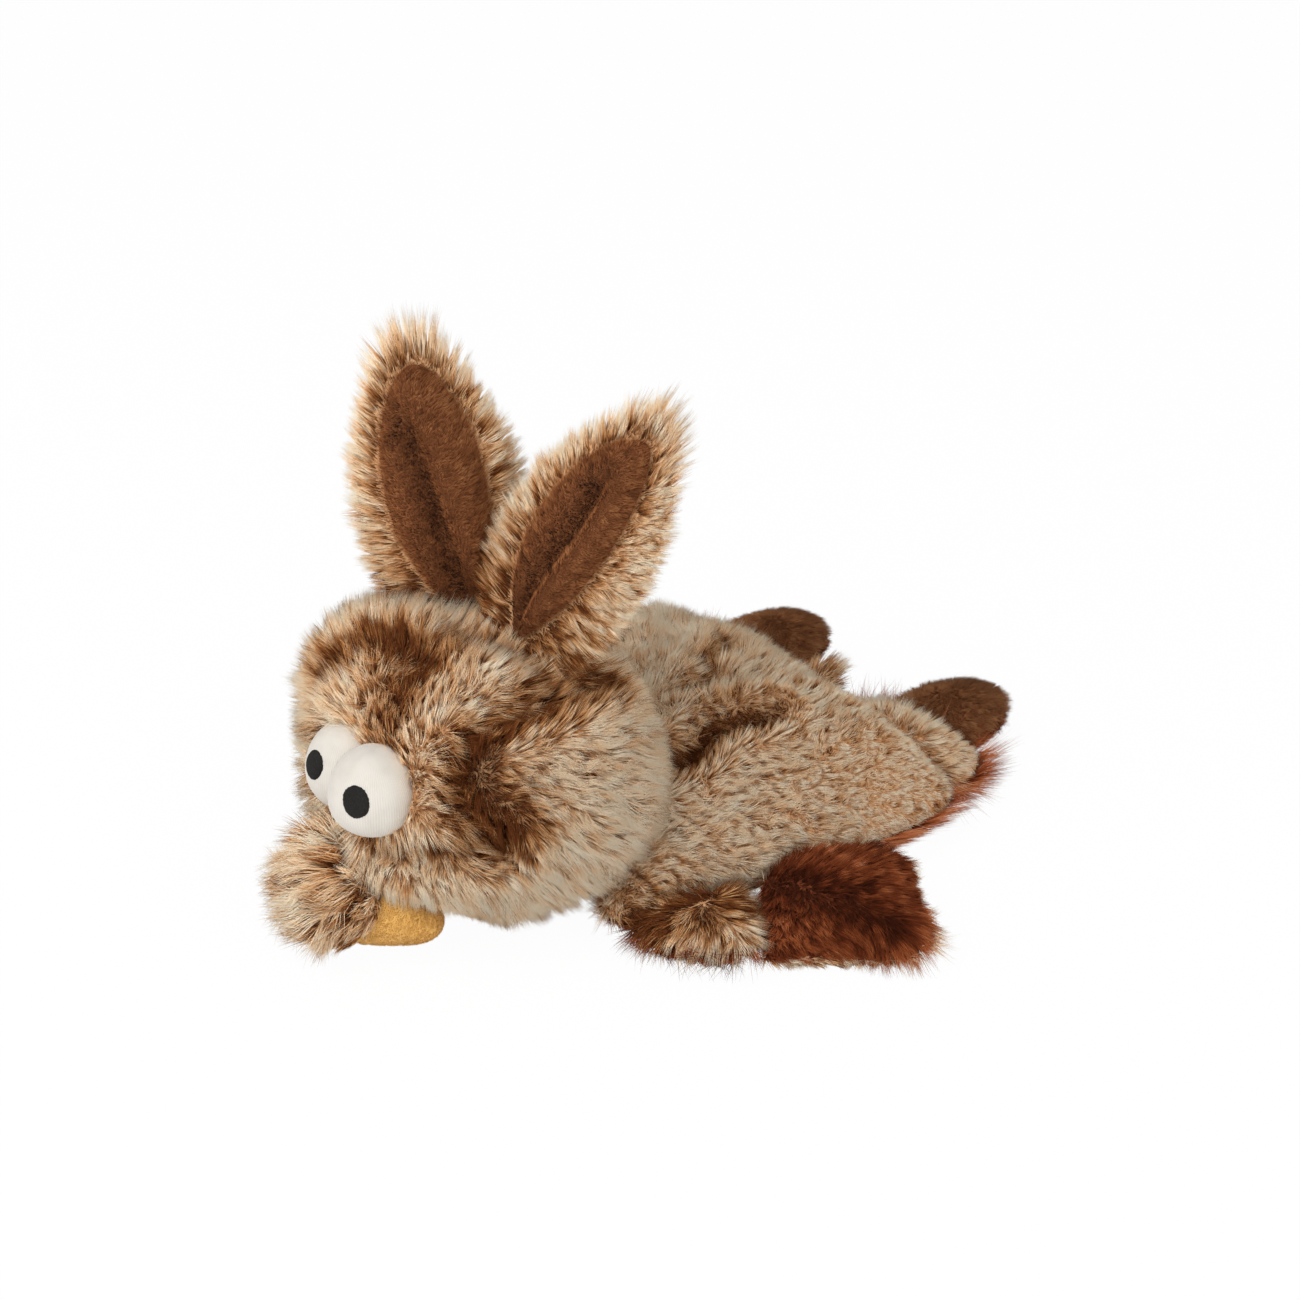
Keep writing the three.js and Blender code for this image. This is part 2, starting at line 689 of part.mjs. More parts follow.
function addTail() {
  const root = bodyRear + seatGap;
  const end = root + tailLength;
  const side = tailWidth * tailCurve.root;
  const swell = tailWidth * tailCurve.swell;
  const tip = tailWidth * tailCurve.tip;
  const drop = new THREE.Shape();
  drop.moveTo(-side, root);
  drop.lineTo(side, root);
  drop.bezierCurveTo(swell, (root + end) / 2, tip, end, 0, end);
  drop.bezierCurveTo(-tip, end, -swell, (root + end) / 2, -side, root);
  const outline = drop.getSpacedPoints(16).slice(1);
  const seam = (x, y) => rimHeight + tailRise * (y - root);
  const tail = cushion({
    outline, middle: middleOf(outline), rim: seam, overRings: 3, underRings: 3,
    over: (x, y, share) => seam(x, y) + tailCrown * (1 - share * share),
    under: (x, y, share) => seam(x, y) - tailCrown * (1 - share * share),
  });
  addPiece('tail', tail, plushColour);
}

addHeadSkin();
addHeadFilling();
addMuzzleAndChin();
addEyes();
Object.entries(earPlaces).forEach(([side, place]) => addEar(side, place));
addBody();
addPocket();
Object.entries(armPlaces).forEach(([side, place]) => addArm(side, place));
Object.entries(legPlaces).forEach(([side, place]) => addLeg(side, place));
addTail();

// The origin is on the floor, under the middle of the whole toy.
const extent = new THREE.Box3().setFromObject(toy);
const middle = extent.getCenter(new THREE.Vector3());
toy.position.set(-middle.x, -middle.y, -extent.min.z);

export default toy;
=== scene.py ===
import math

import bmesh
import bpy
import numpy as np
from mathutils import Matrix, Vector, noise
from mathutils.bvhtree import BVHTree


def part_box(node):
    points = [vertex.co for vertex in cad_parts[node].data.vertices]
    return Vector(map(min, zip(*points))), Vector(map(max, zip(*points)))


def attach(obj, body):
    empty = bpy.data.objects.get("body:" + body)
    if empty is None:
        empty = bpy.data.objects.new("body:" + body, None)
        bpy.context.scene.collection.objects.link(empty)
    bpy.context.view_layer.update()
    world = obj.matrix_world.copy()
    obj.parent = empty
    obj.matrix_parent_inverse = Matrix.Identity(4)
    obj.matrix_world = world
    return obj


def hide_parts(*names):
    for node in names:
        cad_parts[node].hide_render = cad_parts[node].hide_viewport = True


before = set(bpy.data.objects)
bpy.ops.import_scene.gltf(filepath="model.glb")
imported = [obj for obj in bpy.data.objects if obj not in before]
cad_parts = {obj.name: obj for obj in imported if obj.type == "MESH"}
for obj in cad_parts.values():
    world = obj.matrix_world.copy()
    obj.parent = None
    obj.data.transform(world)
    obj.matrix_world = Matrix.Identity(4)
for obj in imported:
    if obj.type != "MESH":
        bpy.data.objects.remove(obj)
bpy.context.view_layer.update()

scene = bpy.context.scene

# Camera. The toy is seen from its front left and from above, as a small thing on a table is,
# through a long lens that stands a metre and a half away.
camera_azimuth = math.radians(45)
camera_elevation = math.radians(29)
camera_distance = 1.5
camera_target = Vector((0.0158, -0.01126, 0.0917))

toward_camera = Vector((
    math.sin(camera_azimuth) * math.cos(camera_elevation),
    -math.cos(camera_azimuth) * math.cos(camera_elevation),
    math.sin(camera_elevation),
))
camera = bpy.data.objects.new("camera", bpy.data.cameras.new("camera"))
scene.collection.objects.link(camera)
camera.location = camera_target + toward_camera * camera_distance
camera.rotation_euler = toward_camera.to_track_quat('Z', 'Y').to_euler()
camera.data.sensor_width = 36
camera.data.lens = 103.8
scene.camera = camera


# Head skin. Three panels of long mottled plush sewn into a ball, turned and stuffed tight with
# fibre, with a sunk fold round the near cheek. The pile is grown on the cloth as hairs that
# gather in locks, dark at the root and pale at the tip.
def points_of(mesh):
    flat = np.empty(len(mesh.vertices) * 3, np.float32)
    mesh.vertices.foreach_get("co", flat)
    return flat.reshape(-1, 3).astype(float)


def normals_of(mesh):
    flat = np.empty(len(mesh.vertices) * 3, np.float32)
    mesh.vertex_normals.foreach_get("vector", flat)
    return flat.reshape(-1, 3).astype(float)


def place_points(mesh, points):
    mesh.vertices.foreach_set("co", points.astype(np.float32).ravel())
    mesh.update()


def unit(vectors):
    return vectors / np.maximum(np.linalg.norm(vectors, axis=-1, keepdims=True), 1e-9)


def made_piece(name, mesh):
    piece = bpy.data.objects.new(name, mesh)
    scene.collection.objects.link(piece)
    return piece


def piece_from(form, name):
    """Ends a bmesh as a piece of its own."""
    mesh = bpy.data.meshes.new(name)
    form.to_mesh(mesh)
    form.free()
    return made_piece(name, mesh)


def surface_of(mesh):
    return BVHTree.FromPolygons(
        [vertex.co for vertex in mesh.vertices],
        [polygon.vertices for polygon in mesh.polygons],
    )


def settle_modifiers(piece):
    """Turns the piece with its modifiers into a plain mesh."""
    depsgraph = bpy.context.evaluated_depsgraph_get()
    mesh = bpy.data.meshes.new_from_object(piece.evaluated_get(depsgraph))
    piece.modifiers.clear()
    piece.data = mesh
    mesh.name = piece.name


def sewn_form(name, nodes):
    """A copy of some of the frame's solids, each one's loose triangles merged."""
    form = bmesh.new()
    for node in nodes:
        form.from_mesh(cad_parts[node].data)
    bmesh.ops.remove_doubles(form, verts=form.verts, dist=1e-6)
    return piece_from(form, name)


def keep_outer_shell(mesh):
    """Leaves the largest closed surface of a mesh and drops what lies inside it."""
    form = bmesh.new()
    form.from_mesh(mesh)
    unseen = set(form.verts)
    shells = []
    while unseen:
        open_ends = [unseen.pop()]
        shell = list(open_ends)
        while open_ends:
            for edge in open_ends.pop().link_edges:
                for vertex in edge.verts:
                    if vertex in unseen:
                        unseen.discard(vertex)
                        open_ends.append(vertex)
                        shell.append(vertex)
        shells.append(shell)
    shells.sort(key=len, reverse=True)
    for shell in shells[1:]:
        bmesh.ops.delete(form, geom=shell, context='VERTS')
    form.to_mesh(mesh)
    form.free()


def one_skin(name, nodes, voxel, smoothing=4):
    """One closed surface round some of the frame's solids, in an even grid of faces."""
    skin = sewn_form(name, nodes)
    grid = skin.modifiers.new("cloth_grid", 'REMESH')
    grid.mode = 'VOXEL'
    grid.voxel_size = voxel
    soften = skin.modifiers.new("soften", 'SMOOTH')
    soften.factor = 0.5
    soften.iterations = smoothing
    settle_modifiers(skin)
    keep_outer_shell(skin.data)
    return skin


def stuff(skin, pressure, reach, spare=0.0, floor=0.0):
    """Swells a skin by its filling, with no point moved further than reach."""
    steps = 20
    rest = points_of(skin.data)
    cloth = skin.modifiers.new("cloth", 'CLOTH')
    cloth.settings.use_pressure = True
    cloth.settings.uniform_pressure_force = pressure
    cloth.settings.shrink_min = -spare
    cloth.settings.effector_weights.gravity = 0
    cloth.point_cache.frame_end = steps
    for step in range(1, steps + 1):
        scene.frame_set(step)
    settle_modifiers(skin)
    scene.frame_set(1)
    moved = points_of(skin.data) - rest
    length = np.linalg.norm(moved, axis=1, keepdims=True)
    moved *= np.minimum(1, reach / np.maximum(length, 1e-9))
    rest = rest + moved
    rest[:, 2] = np.maximum(rest[:, 2], floor)
    place_points(skin.data, rest)
    refine = skin.modifiers.new("refine", 'SUBSURF')
    refine.levels = 1
    refine.render_levels = 1
    settle_modifiers(skin)


def from_path(points, path):
    """The way from the nearest point of a path to each point, and how far that is."""
    path = np.array(path, float)
    best = np.full(len(points), 1e9)
    away = np.zeros_like(points)
    for start, end in zip(path[:-1], path[1:]):
        span = end - start
        share = np.clip((points - start) @ span / max(span @ span, 1e-12), 0, 1)
        offset = points - (start + share[:, None] * span)
        distance = np.linalg.norm(offset, axis=1)
        nearer = distance < best
        best[nearer] = distance[nearer]
        away[nearer] = offset[nearer]
    return unit(away), best


def fade(distance, width):
    """From 1 at no distance, through about a third at the width, to nothing."""
    return np.exp(-(distance / width) ** 2)


def near_place(points, place, width):
    return fade(np.linalg.norm(points - place, axis=1), width)


def sink_folds(skin, folds):
    """Draws the cloth in along each fold, given as its path, width and depth, between two lips."""
    lip_height, lip_place, lip_width = 0.3, 1.8, 0.9
    points = points_of(skin.data)
    normals = normals_of(skin.data)
    for path, width, depth in folds:
        distance = from_path(points, path)[1]
        lip = lip_height * fade(distance / width - lip_place, lip_width)
        points += normals * (depth * (lip - fade(distance, width)))[:, None]
    place_points(skin.data, points)


def lumps(points, scale, seed):
    """Smooth noise from -1 to 1 at each point, with bumps of about that scale in metres."""
    shift = Vector((seed * 7.3, seed * 3.1, seed * 5.7))
    return np.array([noise.noise(Vector(point) / scale + shift) for point in points])


def swell_lumps(skin, scale, height, seed):
    points = points_of(skin.data)
    rise = lumps(points, scale, seed) * height
    place_points(skin.data, points + normals_of(skin.data) * rise[:, None])


def set_values(mesh, name, values):
    kind, field = ('FLOAT_VECTOR', "vector") if values.ndim == 2 else ('FLOAT', "value")
    attribute = mesh.attributes.get(name) or mesh.attributes.new(name, kind, 'POINT')
    attribute.data.foreach_set(field, values.astype(np.float32).ravel())


def lay_pile(skin, comb, shade):
    """Writes which way a skin's pile lies and how pale its tips are, for each point or for all."""
    count = len(skin.data.vertices)
    set_values(skin.data, "comb", np.broadcast_to(comb, (count, 3)))
    set_values(skin.data, "shade", np.broadcast_to(shade, count))


def near_piece(points, piece, reach):
    """From 1 on or inside another piece to 0 at a distance of reach from it."""
    tree = surface_of(piece.data)
    slant = Vector((0.21, 0.13, 0.97))

    def within(point):
        """True where a ray from the point meets the closed mesh an odd number of times."""
        hits = 0
        place = tree.ray_cast(point, slant)[0]
        while place:
            hits += 1
            place = tree.ray_cast(place + slant * 1e-5, slant)[0]
        return hits % 2 == 1

    share = np.zeros(len(points))
    for index, point in enumerate(points):
        point = Vector(point)
        place, normal, _, distance = tree.find_nearest(point)
        inside = (point - place).dot(normal) < 0 and within(point)
        share[index] = 1 if inside else max(0, 1 - distance / reach)
    return share


def add_socket(tree, name, kind, value=None, way='INPUT'):
    socket = tree.interface.new_socket(name, in_out=way, socket_type=kind)
    if value is not None:
        socket.default_value = value


def node_adder(tree):
    """A function that adds a node to a tree and sets or links its inputs, by number or name."""
    def node(kind, inputs=None, **settings):
        made = tree.nodes.new(kind)
        for setting, value in settings.items():
            setattr(made, setting, value)
        for key, value in (inputs or {}).items():
            if isinstance(value, bpy.types.NodeSocket):
                tree.links.new(value, made.inputs[key])
            else:
                made.inputs[key].default_value = value
        return made
    return node


def set_inputs(modifier, values):
    """Sets a node modifier's inputs, each given by its name, through their identifiers."""
    sockets = {item.name: item.identifier for item in modifier.node_group.interface.items_tree
               if item.in_out == 'INPUT'}
    for name, value in values.items():
        modifier[sockets[name]] = value


def pile_tree():
    """Geometry Nodes that grow a pile of hairs, gathered in locks, on a skin.

    The skin carries three values: comb, the way the pile lies, coat, how much of it there is,
    and shade, how pale its tips are.
    """
    tree = bpy.data.node_groups.new("pile", 'GeometryNodeTree')
    add_socket(tree, "Geometry", 'NodeSocketGeometry')
    add_socket(tree, "Hairs per square centimetre", 'NodeSocketFloat', 240.0)
    add_socket(tree, "Length", 'NodeSocketFloat', 0.012)
    add_socket(tree, "Uneven length", 'NodeSocketFloat', 0.3)
    add_socket(tree, "Hair width", 'NodeSocketFloat', 0.0003)
    add_socket(tree, "Lock spacing", 'NodeSocketFloat', 0.0035)
    add_socket(tree, "Lock strength", 'NodeSocketFloat', 0.7)
    add_socket(tree, "Rise", 'NodeSocketFloat', 0.5)
    add_socket(tree, "Tousle", 'NodeSocketFloat', 0.5)
    add_socket(tree, "Mottle", 'NodeSocketFloat', 0.5)
    add_socket(tree, "Flecks", 'NodeSocketFloat', 0.3)
    add_socket(tree, "Segments", 'NodeSocketInt', 1)
    add_socket(tree, "Seed", 'NodeSocketInt', 0)
    add_socket(tree, "Material", 'NodeSocketMaterial')
    add_socket(tree, "Geometry", 'NodeSocketGeometry', way='OUTPUT')
    given = tree.nodes.new('NodeGroupInput').outputs
    node = node_adder(tree)
    drift_scale, patch_scale, speck_scale = 70.0, 210.0, 215.0
    lock_share, own_share, drift_share = 0.65, 0.35, 3.0
    floor_gap = 0.0002

    def number(operation, *inputs):
        made = node('ShaderNodeMath', dict(enumerate(inputs)), operation=operation)
        return made.outputs[0]

    def vector(operation, *inputs):
        made = node('ShaderNodeVectorMath', dict(enumerate(inputs)), operation=operation)
        return made.outputs['Value' if operation == 'DOT_PRODUCT' else 'Vector']

    def scaled(value, share):
        made = node('ShaderNodeVectorMath', {0: value, 'Scale': share}, operation='SCALE')
        return made.outputs['Vector']

    def stored(name, kind='FLOAT'):
        return node('GeometryNodeInputNamedAttribute', {'Name': name}, data_type=kind).outputs[0]

    def store(geometry, name, value, kind='FLOAT', domain='POINT'):
        inputs = {'Geometry': geometry, 'Name': name, 'Value': value}
        made = node('GeometryNodeStoreNamedAttribute', inputs, data_type=kind, domain=domain)
        return made.outputs[0]

    def chance(low, high, seed_step):
        seed = number('ADD', given["Seed"], float(seed_step))
        if isinstance(low, tuple):
            inputs = {0: low, 1: high, 'Seed': seed}
            made = node('FunctionNodeRandomValue', inputs, data_type='FLOAT_VECTOR')
            return made.outputs[0]
        return node('FunctionNodeRandomValue', {2: low, 3: high, 'Seed': seed}).outputs[1]

    def spread_points(density, seed_step):
        inputs = {
            'Mesh': given["Geometry"],
            'Density': density,
            'Seed': number('ADD', given["Seed"], float(seed_step)),
        }
        return node('GeometryNodeDistributePointsOnFaces', inputs)

    coat = stored("coat")
    per_square_metre = number('MULTIPLY', given["Hairs per square centimetre"], 10000.0)
    full = node('ShaderNodeClamp', {'Value': number('MULTIPLY', coat, 2.0)}).outputs[0]
    hairs = spread_points(number('MULTIPLY', per_square_metre, full), 1)
    lock_area = number('MULTIPLY', given["Lock spacing"], given["Lock spacing"])
    locks = spread_points(number('DIVIDE', 1.0, lock_area), 2)

    place = node('GeometryNodeInputPosition').outputs[0]
    lock = node('GeometryNodeSampleNearest', {'Geometry': locks.outputs['Points']}).outputs[0]

    def from_lock(value, kind='FLOAT_VECTOR'):
        inputs = {'Geometry': locks.outputs['Points'], 'Value': value, 'Index': lock}
        return node('GeometryNodeSampleIndex', inputs, data_type=kind).outputs[0]

    lock_place = from_lock(place)
    least, most = (-1.0, -1.0, -1.0), (1.0, 1.0, 1.0)
    lock_chance = from_lock(chance(least, most, 3))

    drift = node('ShaderNodeTexNoise', {'Vector': place, 'Scale': drift_scale, 'Detail': 1.0})
    drift = vector('SUBTRACT', drift.outputs['Color'], (0.5, 0.5, 0.5))
    normal = hairs.outputs['Normal']
    own_chance = scaled(chance(least, most, 4), own_share)
    stray = vector('ADD', scaled(lock_chance, lock_share), own_chance)
    stray = vector('ADD', stray, scaled(drift, drift_share))
    comb = vector('ADD', stored("comb", 'FLOAT_VECTOR'), scaled(stray, given["Tousle"]))
    flat_comb = vector('SUBTRACT', comb, scaled(normal, vector('DOT_PRODUCT', comb, normal)))
    lie = vector('NORMALIZE', flat_comb)
    side = vector('NORMALIZE', vector('CROSS_PRODUCT', normal, lie))

    lock_parts = node('ShaderNodeSeparateXYZ', {0: lock_chance}).outputs
    own_length = number('MULTIPLY_ADD', lock_parts['Y'], 0.4, chance(-0.6, 0.6, 5))
    own_length = number('MULTIPLY', own_length, given["Uneven length"])
    length = number('MULTIPLY', given["Length"], number('ADD', 1.0, own_length))
    length = number('MULTIPLY', length, coat)
    apart = vector('SUBTRACT', place, lock_place)
    patches = node('ShaderNodeTexNoise', {'Vector': place, 'Scale': patch_scale, 'Detail': 2.0})
    patch = number('SUBTRACT', patches.outputs['Fac'], 0.5)
    tint = number('MULTIPLY_ADD', lock_parts['X'], 0.45, number('MULTIPLY', patch, 2.0))
    tint = number('ADD', tint, chance(-0.3, 0.3, 6))
    tint = number('MULTIPLY_ADD', tint, given["Mottle"], stored("shade"))
    specks = node('ShaderNodeTexNoise', {'Vector': place, 'Scale': speck_scale, 'Detail': 1.0})
    speck = node('ShaderNodeMapRange', {
        'Value': specks.outputs['Fac'], 'From Min': 0.58, 'From Max': 0.68,
    }).outputs[0]
    tint = number('SUBTRACT', tint, number('MULTIPLY', speck, given["Flecks"]))
    tint = node('ShaderNodeClamp', {'Value': tint, 'Min': 0.01, 'Max': 0.99}).outputs[0]

    rooted = hairs.outputs['Points']
    for name, value in (("root", place), ("up", normal), ("lie", lie), ("side", side),
                        ("apart", apart)):
        rooted = store(rooted, name, value, 'FLOAT_VECTOR')
    rooted = store(rooted, "reach", length)
    rooted = store(rooted, "tint", tint)

    cone = node('GeometryNodeMeshCone', {
        'Vertices': 3, 'Side Segments': given["Segments"], 'Radius Top': 0.0,
        'Radius Bottom': 1.0, 'Depth': 1.0,
    })
    spike = store(cone.outputs['Mesh'], "spike", place, 'FLOAT_VECTOR')
    sown = node('GeometryNodeInstanceOnPoints', {'Points': rooted, 'Instance': spike})
    grown = node('GeometryNodeRealizeInstances', {'Geometry': sown.outputs[0]}).outputs[0]

    spot = node('ShaderNodeSeparateXYZ', {0: stored("spike", 'FLOAT_VECTOR')}).outputs
    along = spot['Z']
    bend = number('MULTIPLY', along, number('MULTIPLY_ADD', along, -0.4, 1.4))
    rise = number('MULTIPLY', bend, given["Rise"])
    flat_share = number('SQRT', number('SUBTRACT', 1.0, number('POWER', given["Rise"], 2.0)))
    sweep = number('MULTIPLY', along, number('MULTIPLY_ADD', along, 0.3, 0.7))
    run = number('MULTIPLY', sweep, flat_share)
    up, lie_there = stored("up", 'FLOAT_VECTOR'), stored("lie", 'FLOAT_VECTOR')
    line = vector('ADD', scaled(up, rise), scaled(lie_there, run))
    line = scaled(line, stored("reach"))
    pull = number('MULTIPLY', number('POWER', along, 1.2), given["Lock strength"])
    line = vector('SUBTRACT', line, scaled(stored("apart", 'FLOAT_VECTOR'), pull))
    broad = number('MULTIPLY', given["Hair width"], number('MULTIPLY_ADD', along, 0.7, 0.5))
    deep_way = vector('SUBTRACT', scaled(up, flat_share), scaled(lie_there, given["Rise"]))
    across = scaled(stored("side", 'FLOAT_VECTOR'), number('MULTIPLY', spot['X'], broad))
    deep = scaled(deep_way, number('MULTIPLY', spot['Y'], broad))
    where = vector('ADD', vector('ADD', stored("root", 'FLOAT_VECTOR'), line),
                   vector('ADD', across, deep))
    clear_floor = node('ShaderNodeSeparateXYZ', {0: where}).outputs
    height = number('MAXIMUM', clear_floor['Z'], floor_gap)
    where = node('ShaderNodeCombineXYZ', {
        'X': clear_floor['X'], 'Y': clear_floor['Y'], 'Z': height,
    }).outputs[0]
    grown = node('GeometryNodeSetPosition', {'Geometry': grown, 'Position': where}).outputs[0]
    tone = node('ShaderNodeCombineXYZ', {'X': stored("tint"), 'Y': along}).outputs[0]
    grown = store(grown, "OFBake", tone, 'FLOAT2', 'CORNER')
    grown = node('GeometryNodeSetShadeSmooth', {'Geometry': grown}).outputs[0]
    inputs = {'Geometry': grown, 'Material': given["Material"]}
    grown = node('GeometryNodeSetMaterial', inputs).outputs[0]
    tree.links.new(grown, tree.nodes.new('NodeGroupOutput').inputs[0])
    return tree


pile = pile_tree()
pile_values = ("comb", "coat", "shade", "root", "up", "lie", "side", "apart", "reach", "tint",
               "spike")


def grow_pile(name, skin, coat, material, **wanted):
    """One piece of pile on a skin, as thick and long as coat says from 0 to about 1."""
    set_values(skin.data, "coat", coat)
    grower = skin.modifiers.new("pile", 'NODES')
    grower.node_group = pile
    given = {label.replace("_", " ").capitalize(): value for label, value in wanted.items()}
    set_inputs(grower, {**given, "Material": material})
    depsgraph = bpy.context.evaluated_depsgraph_get()
    mesh = bpy.data.meshes.new_from_object(skin.evaluated_get(depsgraph))
    skin.modifiers.remove(grower)
    for value in pile_values:
        if value in mesh.attributes:
            mesh.attributes.remove(mesh.attributes[value])
    mesh.name = name
    return made_piece(name, mesh)


def bare_material(name, roughness, specular=0.2):
    """A material of one shader, with that shader and a function that adds nodes to it."""
    material = bpy.data.materials.new(name)
    material.use_nodes = True
    shader = material.node_tree.nodes["Principled BSDF"]
    shader.inputs['Roughness'].default_value = roughness
    shader.inputs['Specular IOR Level'].default_value = specular
    return material, shader, node_adder(material.node_tree)


def paint(material, shader, ramp, bump=None):
    """Links a ramp to a material's colour, and a bump to its surface."""
    material.node_tree.links.new(ramp.outputs['Color'], shader.inputs['Base Color'])
    if bump:
        material.node_tree.links.new(bump.outputs['Normal'], shader.inputs['Normal'])


def set_ramp(ramp, stops):
    """Sets a colour ramp's stops, each a place from 0 to 1 and a linear colour."""
    elements = ramp.color_ramp.elements
    while len(elements) > 1:
        elements.remove(elements[-1])
    for index, (place, colour) in enumerate(stops):
        element = elements[0] if index == 0 else elements.new(place)
        element.position = place
        element.color = (*colour, 1)


def pile_material(name, tips, root_fade=0.25):
    """Dyed pile: each hair's tone runs from a darker one at its root to its own at its tip."""
    material, shader, node = bare_material(name, roughness=0.8, specular=0.1)
    tone = node('ShaderNodeUVMap', uv_map="OFBake")
    parts = node('ShaderNodeSeparateXYZ', {0: tone.outputs['UV']}).outputs
    depth = node('ShaderNodeMapRange', {
        'Value': parts['Y'], 'From Min': 0.0, 'From Max': 0.6, 'To Min': root_fade,
        'To Max': 0.0,
    })
    place = node('ShaderNodeMath', {0: parts['X'], 1: depth.outputs[0]}, operation='SUBTRACT')
    dye = node('ShaderNodeValToRGB', {'Fac': place.outputs[0]})
    set_ramp(dye, tips)
    paint(material, shader, dye)
    return material


def knit_material(name, light, dark, scale=900.0):
    """The knitted cloth that the pile is rooted in, seen only where the pile parts."""
    material, shader, node = bare_material(name, roughness=0.9)
    spot = node('ShaderNodeTexCoord').outputs['Object']
    loops = node('ShaderNodeTexVoronoi', {'Vector': spot, 'Scale': scale})
    patches = node('ShaderNodeTexNoise', {'Vector': spot, 'Scale': 90.0, 'Detail': 4.0})
    tone = node('ShaderNodeMath', {0: loops.outputs['Distance'], 1: patches.outputs['Fac']},
                operation='MULTIPLY')
    ramp = node('ShaderNodeValToRGB', {'Fac': tone.outputs[0]})
    set_ramp(ramp, [(0.05, dark), (0.4, light)])
    bump = node('ShaderNodeBump', {
        'Height': loops.outputs['Distance'], 'Distance': 0.0003, 'Strength': 0.6,
    })
    paint(material, shader, ramp, bump)
    return material


def dress(piece, body, material=None, stands_for=()):
    """Gives a piece its material and sets it on its body, clear of the floor."""
    if material:
        piece.data.materials.clear()
        piece.data.materials.append(material)
    points = points_of(piece.data)
    points[:, 2] = np.maximum(points[:, 2], 0.0001)
    place_points(piece.data, points)
    for polygon in piece.data.polygons:
        polygon.use_smooth = True
    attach(piece, body)
    if stands_for:
        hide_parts(*stands_for)


def part_and_shade_pile(points, comb, shade, partings):
    """Combs the pile apart along each path, where its darker lower part then shows, and darkens
    the tips along it as painted shade.
    """
    patchy = 1 + 0.6 * lumps(points, 0.007, 3)
    for path, strength, width, painted_shade in partings:
        away, distance = from_path(points, path)
        share = fade(distance, width)
        comb += away * (strength * share * np.minimum(1, 2 * distance / width))[:, None]
        # The tips along the path are darkened as painted shade, in patches.
        shade -= painted_shade * share * patchy


mottled_tips = [
    (0.0, (0.16, 0.046, 0.012)),
    (0.15, (0.40, 0.145, 0.039)),
    (0.3, (0.72, 0.37, 0.145)),
    (0.45, (0.95, 0.64, 0.365)),
    (0.65, (1.0, 0.805, 0.57)),
    (1.0, (1.0, 0.90, 0.72)),
]
mottled_pile = pile_material("mottled_pile", mottled_tips)
brown_knit = knit_material("brown_knit", light=(0.66, 0.38, 0.19), dark=(0.45, 0.22, 0.095))

head_panels = ("head_middle_panel", "left_cheek_panel", "right_cheek_panel")
face_point = np.array([-0.010, -0.160, 0.078])
cheek_middle = np.array([0.064, -0.092, 0.060])
across_face = np.array([0.956, 0.292, 0.0])
left_seam, right_seam = 0.030, -0.018
jowl_height = 0.075
cheek_fold = [
    (0.0394, -0.0606, 0.1039), (0.0412, -0.0773, 0.1078), (0.0407, -0.0900, 0.1075),
    (0.0360, -0.1040, 0.1064), (0.0317, -0.1166, 0.1033), (0.0307, -0.1262, 0.0963),
    (0.0328, -0.1316, 0.0863), (0.0392, -0.1311, 0.0743), (0.0462, -0.1240, 0.0621),
]
jowl_fold = [
    (0.0151, -0.1533, 0.0600), (0.0248, -0.1492, 0.0611), (0.0337, -0.1418, 0.0631),
    (0.0462, -0.1240, 0.0621),
]
brow_fold = [
    (-0.0075, -0.0950, 0.1212), (0.0136, -0.0853, 0.1186), (0.0307, -0.0841, 0.1130),
]
cheek_swirl = [(0.0378, -0.1242, 0.0897), (0.0463, -0.1194, 0.0811), (0.0528, -0.1143, 0.0706)]
forehead_parting = [
    (-0.0364, -0.1312, 0.1116), (-0.0262, -0.1244, 0.1196), (-0.0150, -0.1178, 0.1201),
    (-0.0027, -0.1146, 0.1171),
]
eye_corner = [(-0.0026, -0.1358, 0.1006), (-0.0005, -0.1298, 0.1069)]

head_skin = one_skin("head_skin", (*head_panels, "head_filling"), 0.004)
stuff(head_skin, pressure=4.0, reach=0.003, floor=0.003)
sink_folds(head_skin, [
    (cheek_fold, 0.008, 0.007), (jowl_fold, 0.007, 0.005), (brow_fold, 0.008, 0.005),
    (forehead_parting, 0.009, 0.003),
])
swell_lumps(head_skin, 0.026, 0.0022, 1)

head_points = points_of(head_skin.data)
head_comb = unit(head_points - face_point) + np.array([0.0, 0.0, -0.35])
head_shade = np.full(len(head_points), 0.72)
# The tips are darkened along these paths: as painted shade in the folds and hollows, and where the
# pile parts to show its darker roots.
part_and_shade_pile(head_points, head_comb, head_shade, [
    (cheek_fold, 1.0, 0.0095, 0.95), (jowl_fold, 0.4, 0.006, 0.40), (brow_fold, 0.35, 0.006, 0.60),
    (cheek_swirl, 0.8, 0.0075, 0.75), (forehead_parting, 0.9, 0.0105, 0.72),
    (eye_corner, 0.0, 0.008, 0.75),
])
head_shade += 0.08 * near_place(head_points, cheek_middle, 0.035)
lay_pile(head_skin, head_comb, head_shade)

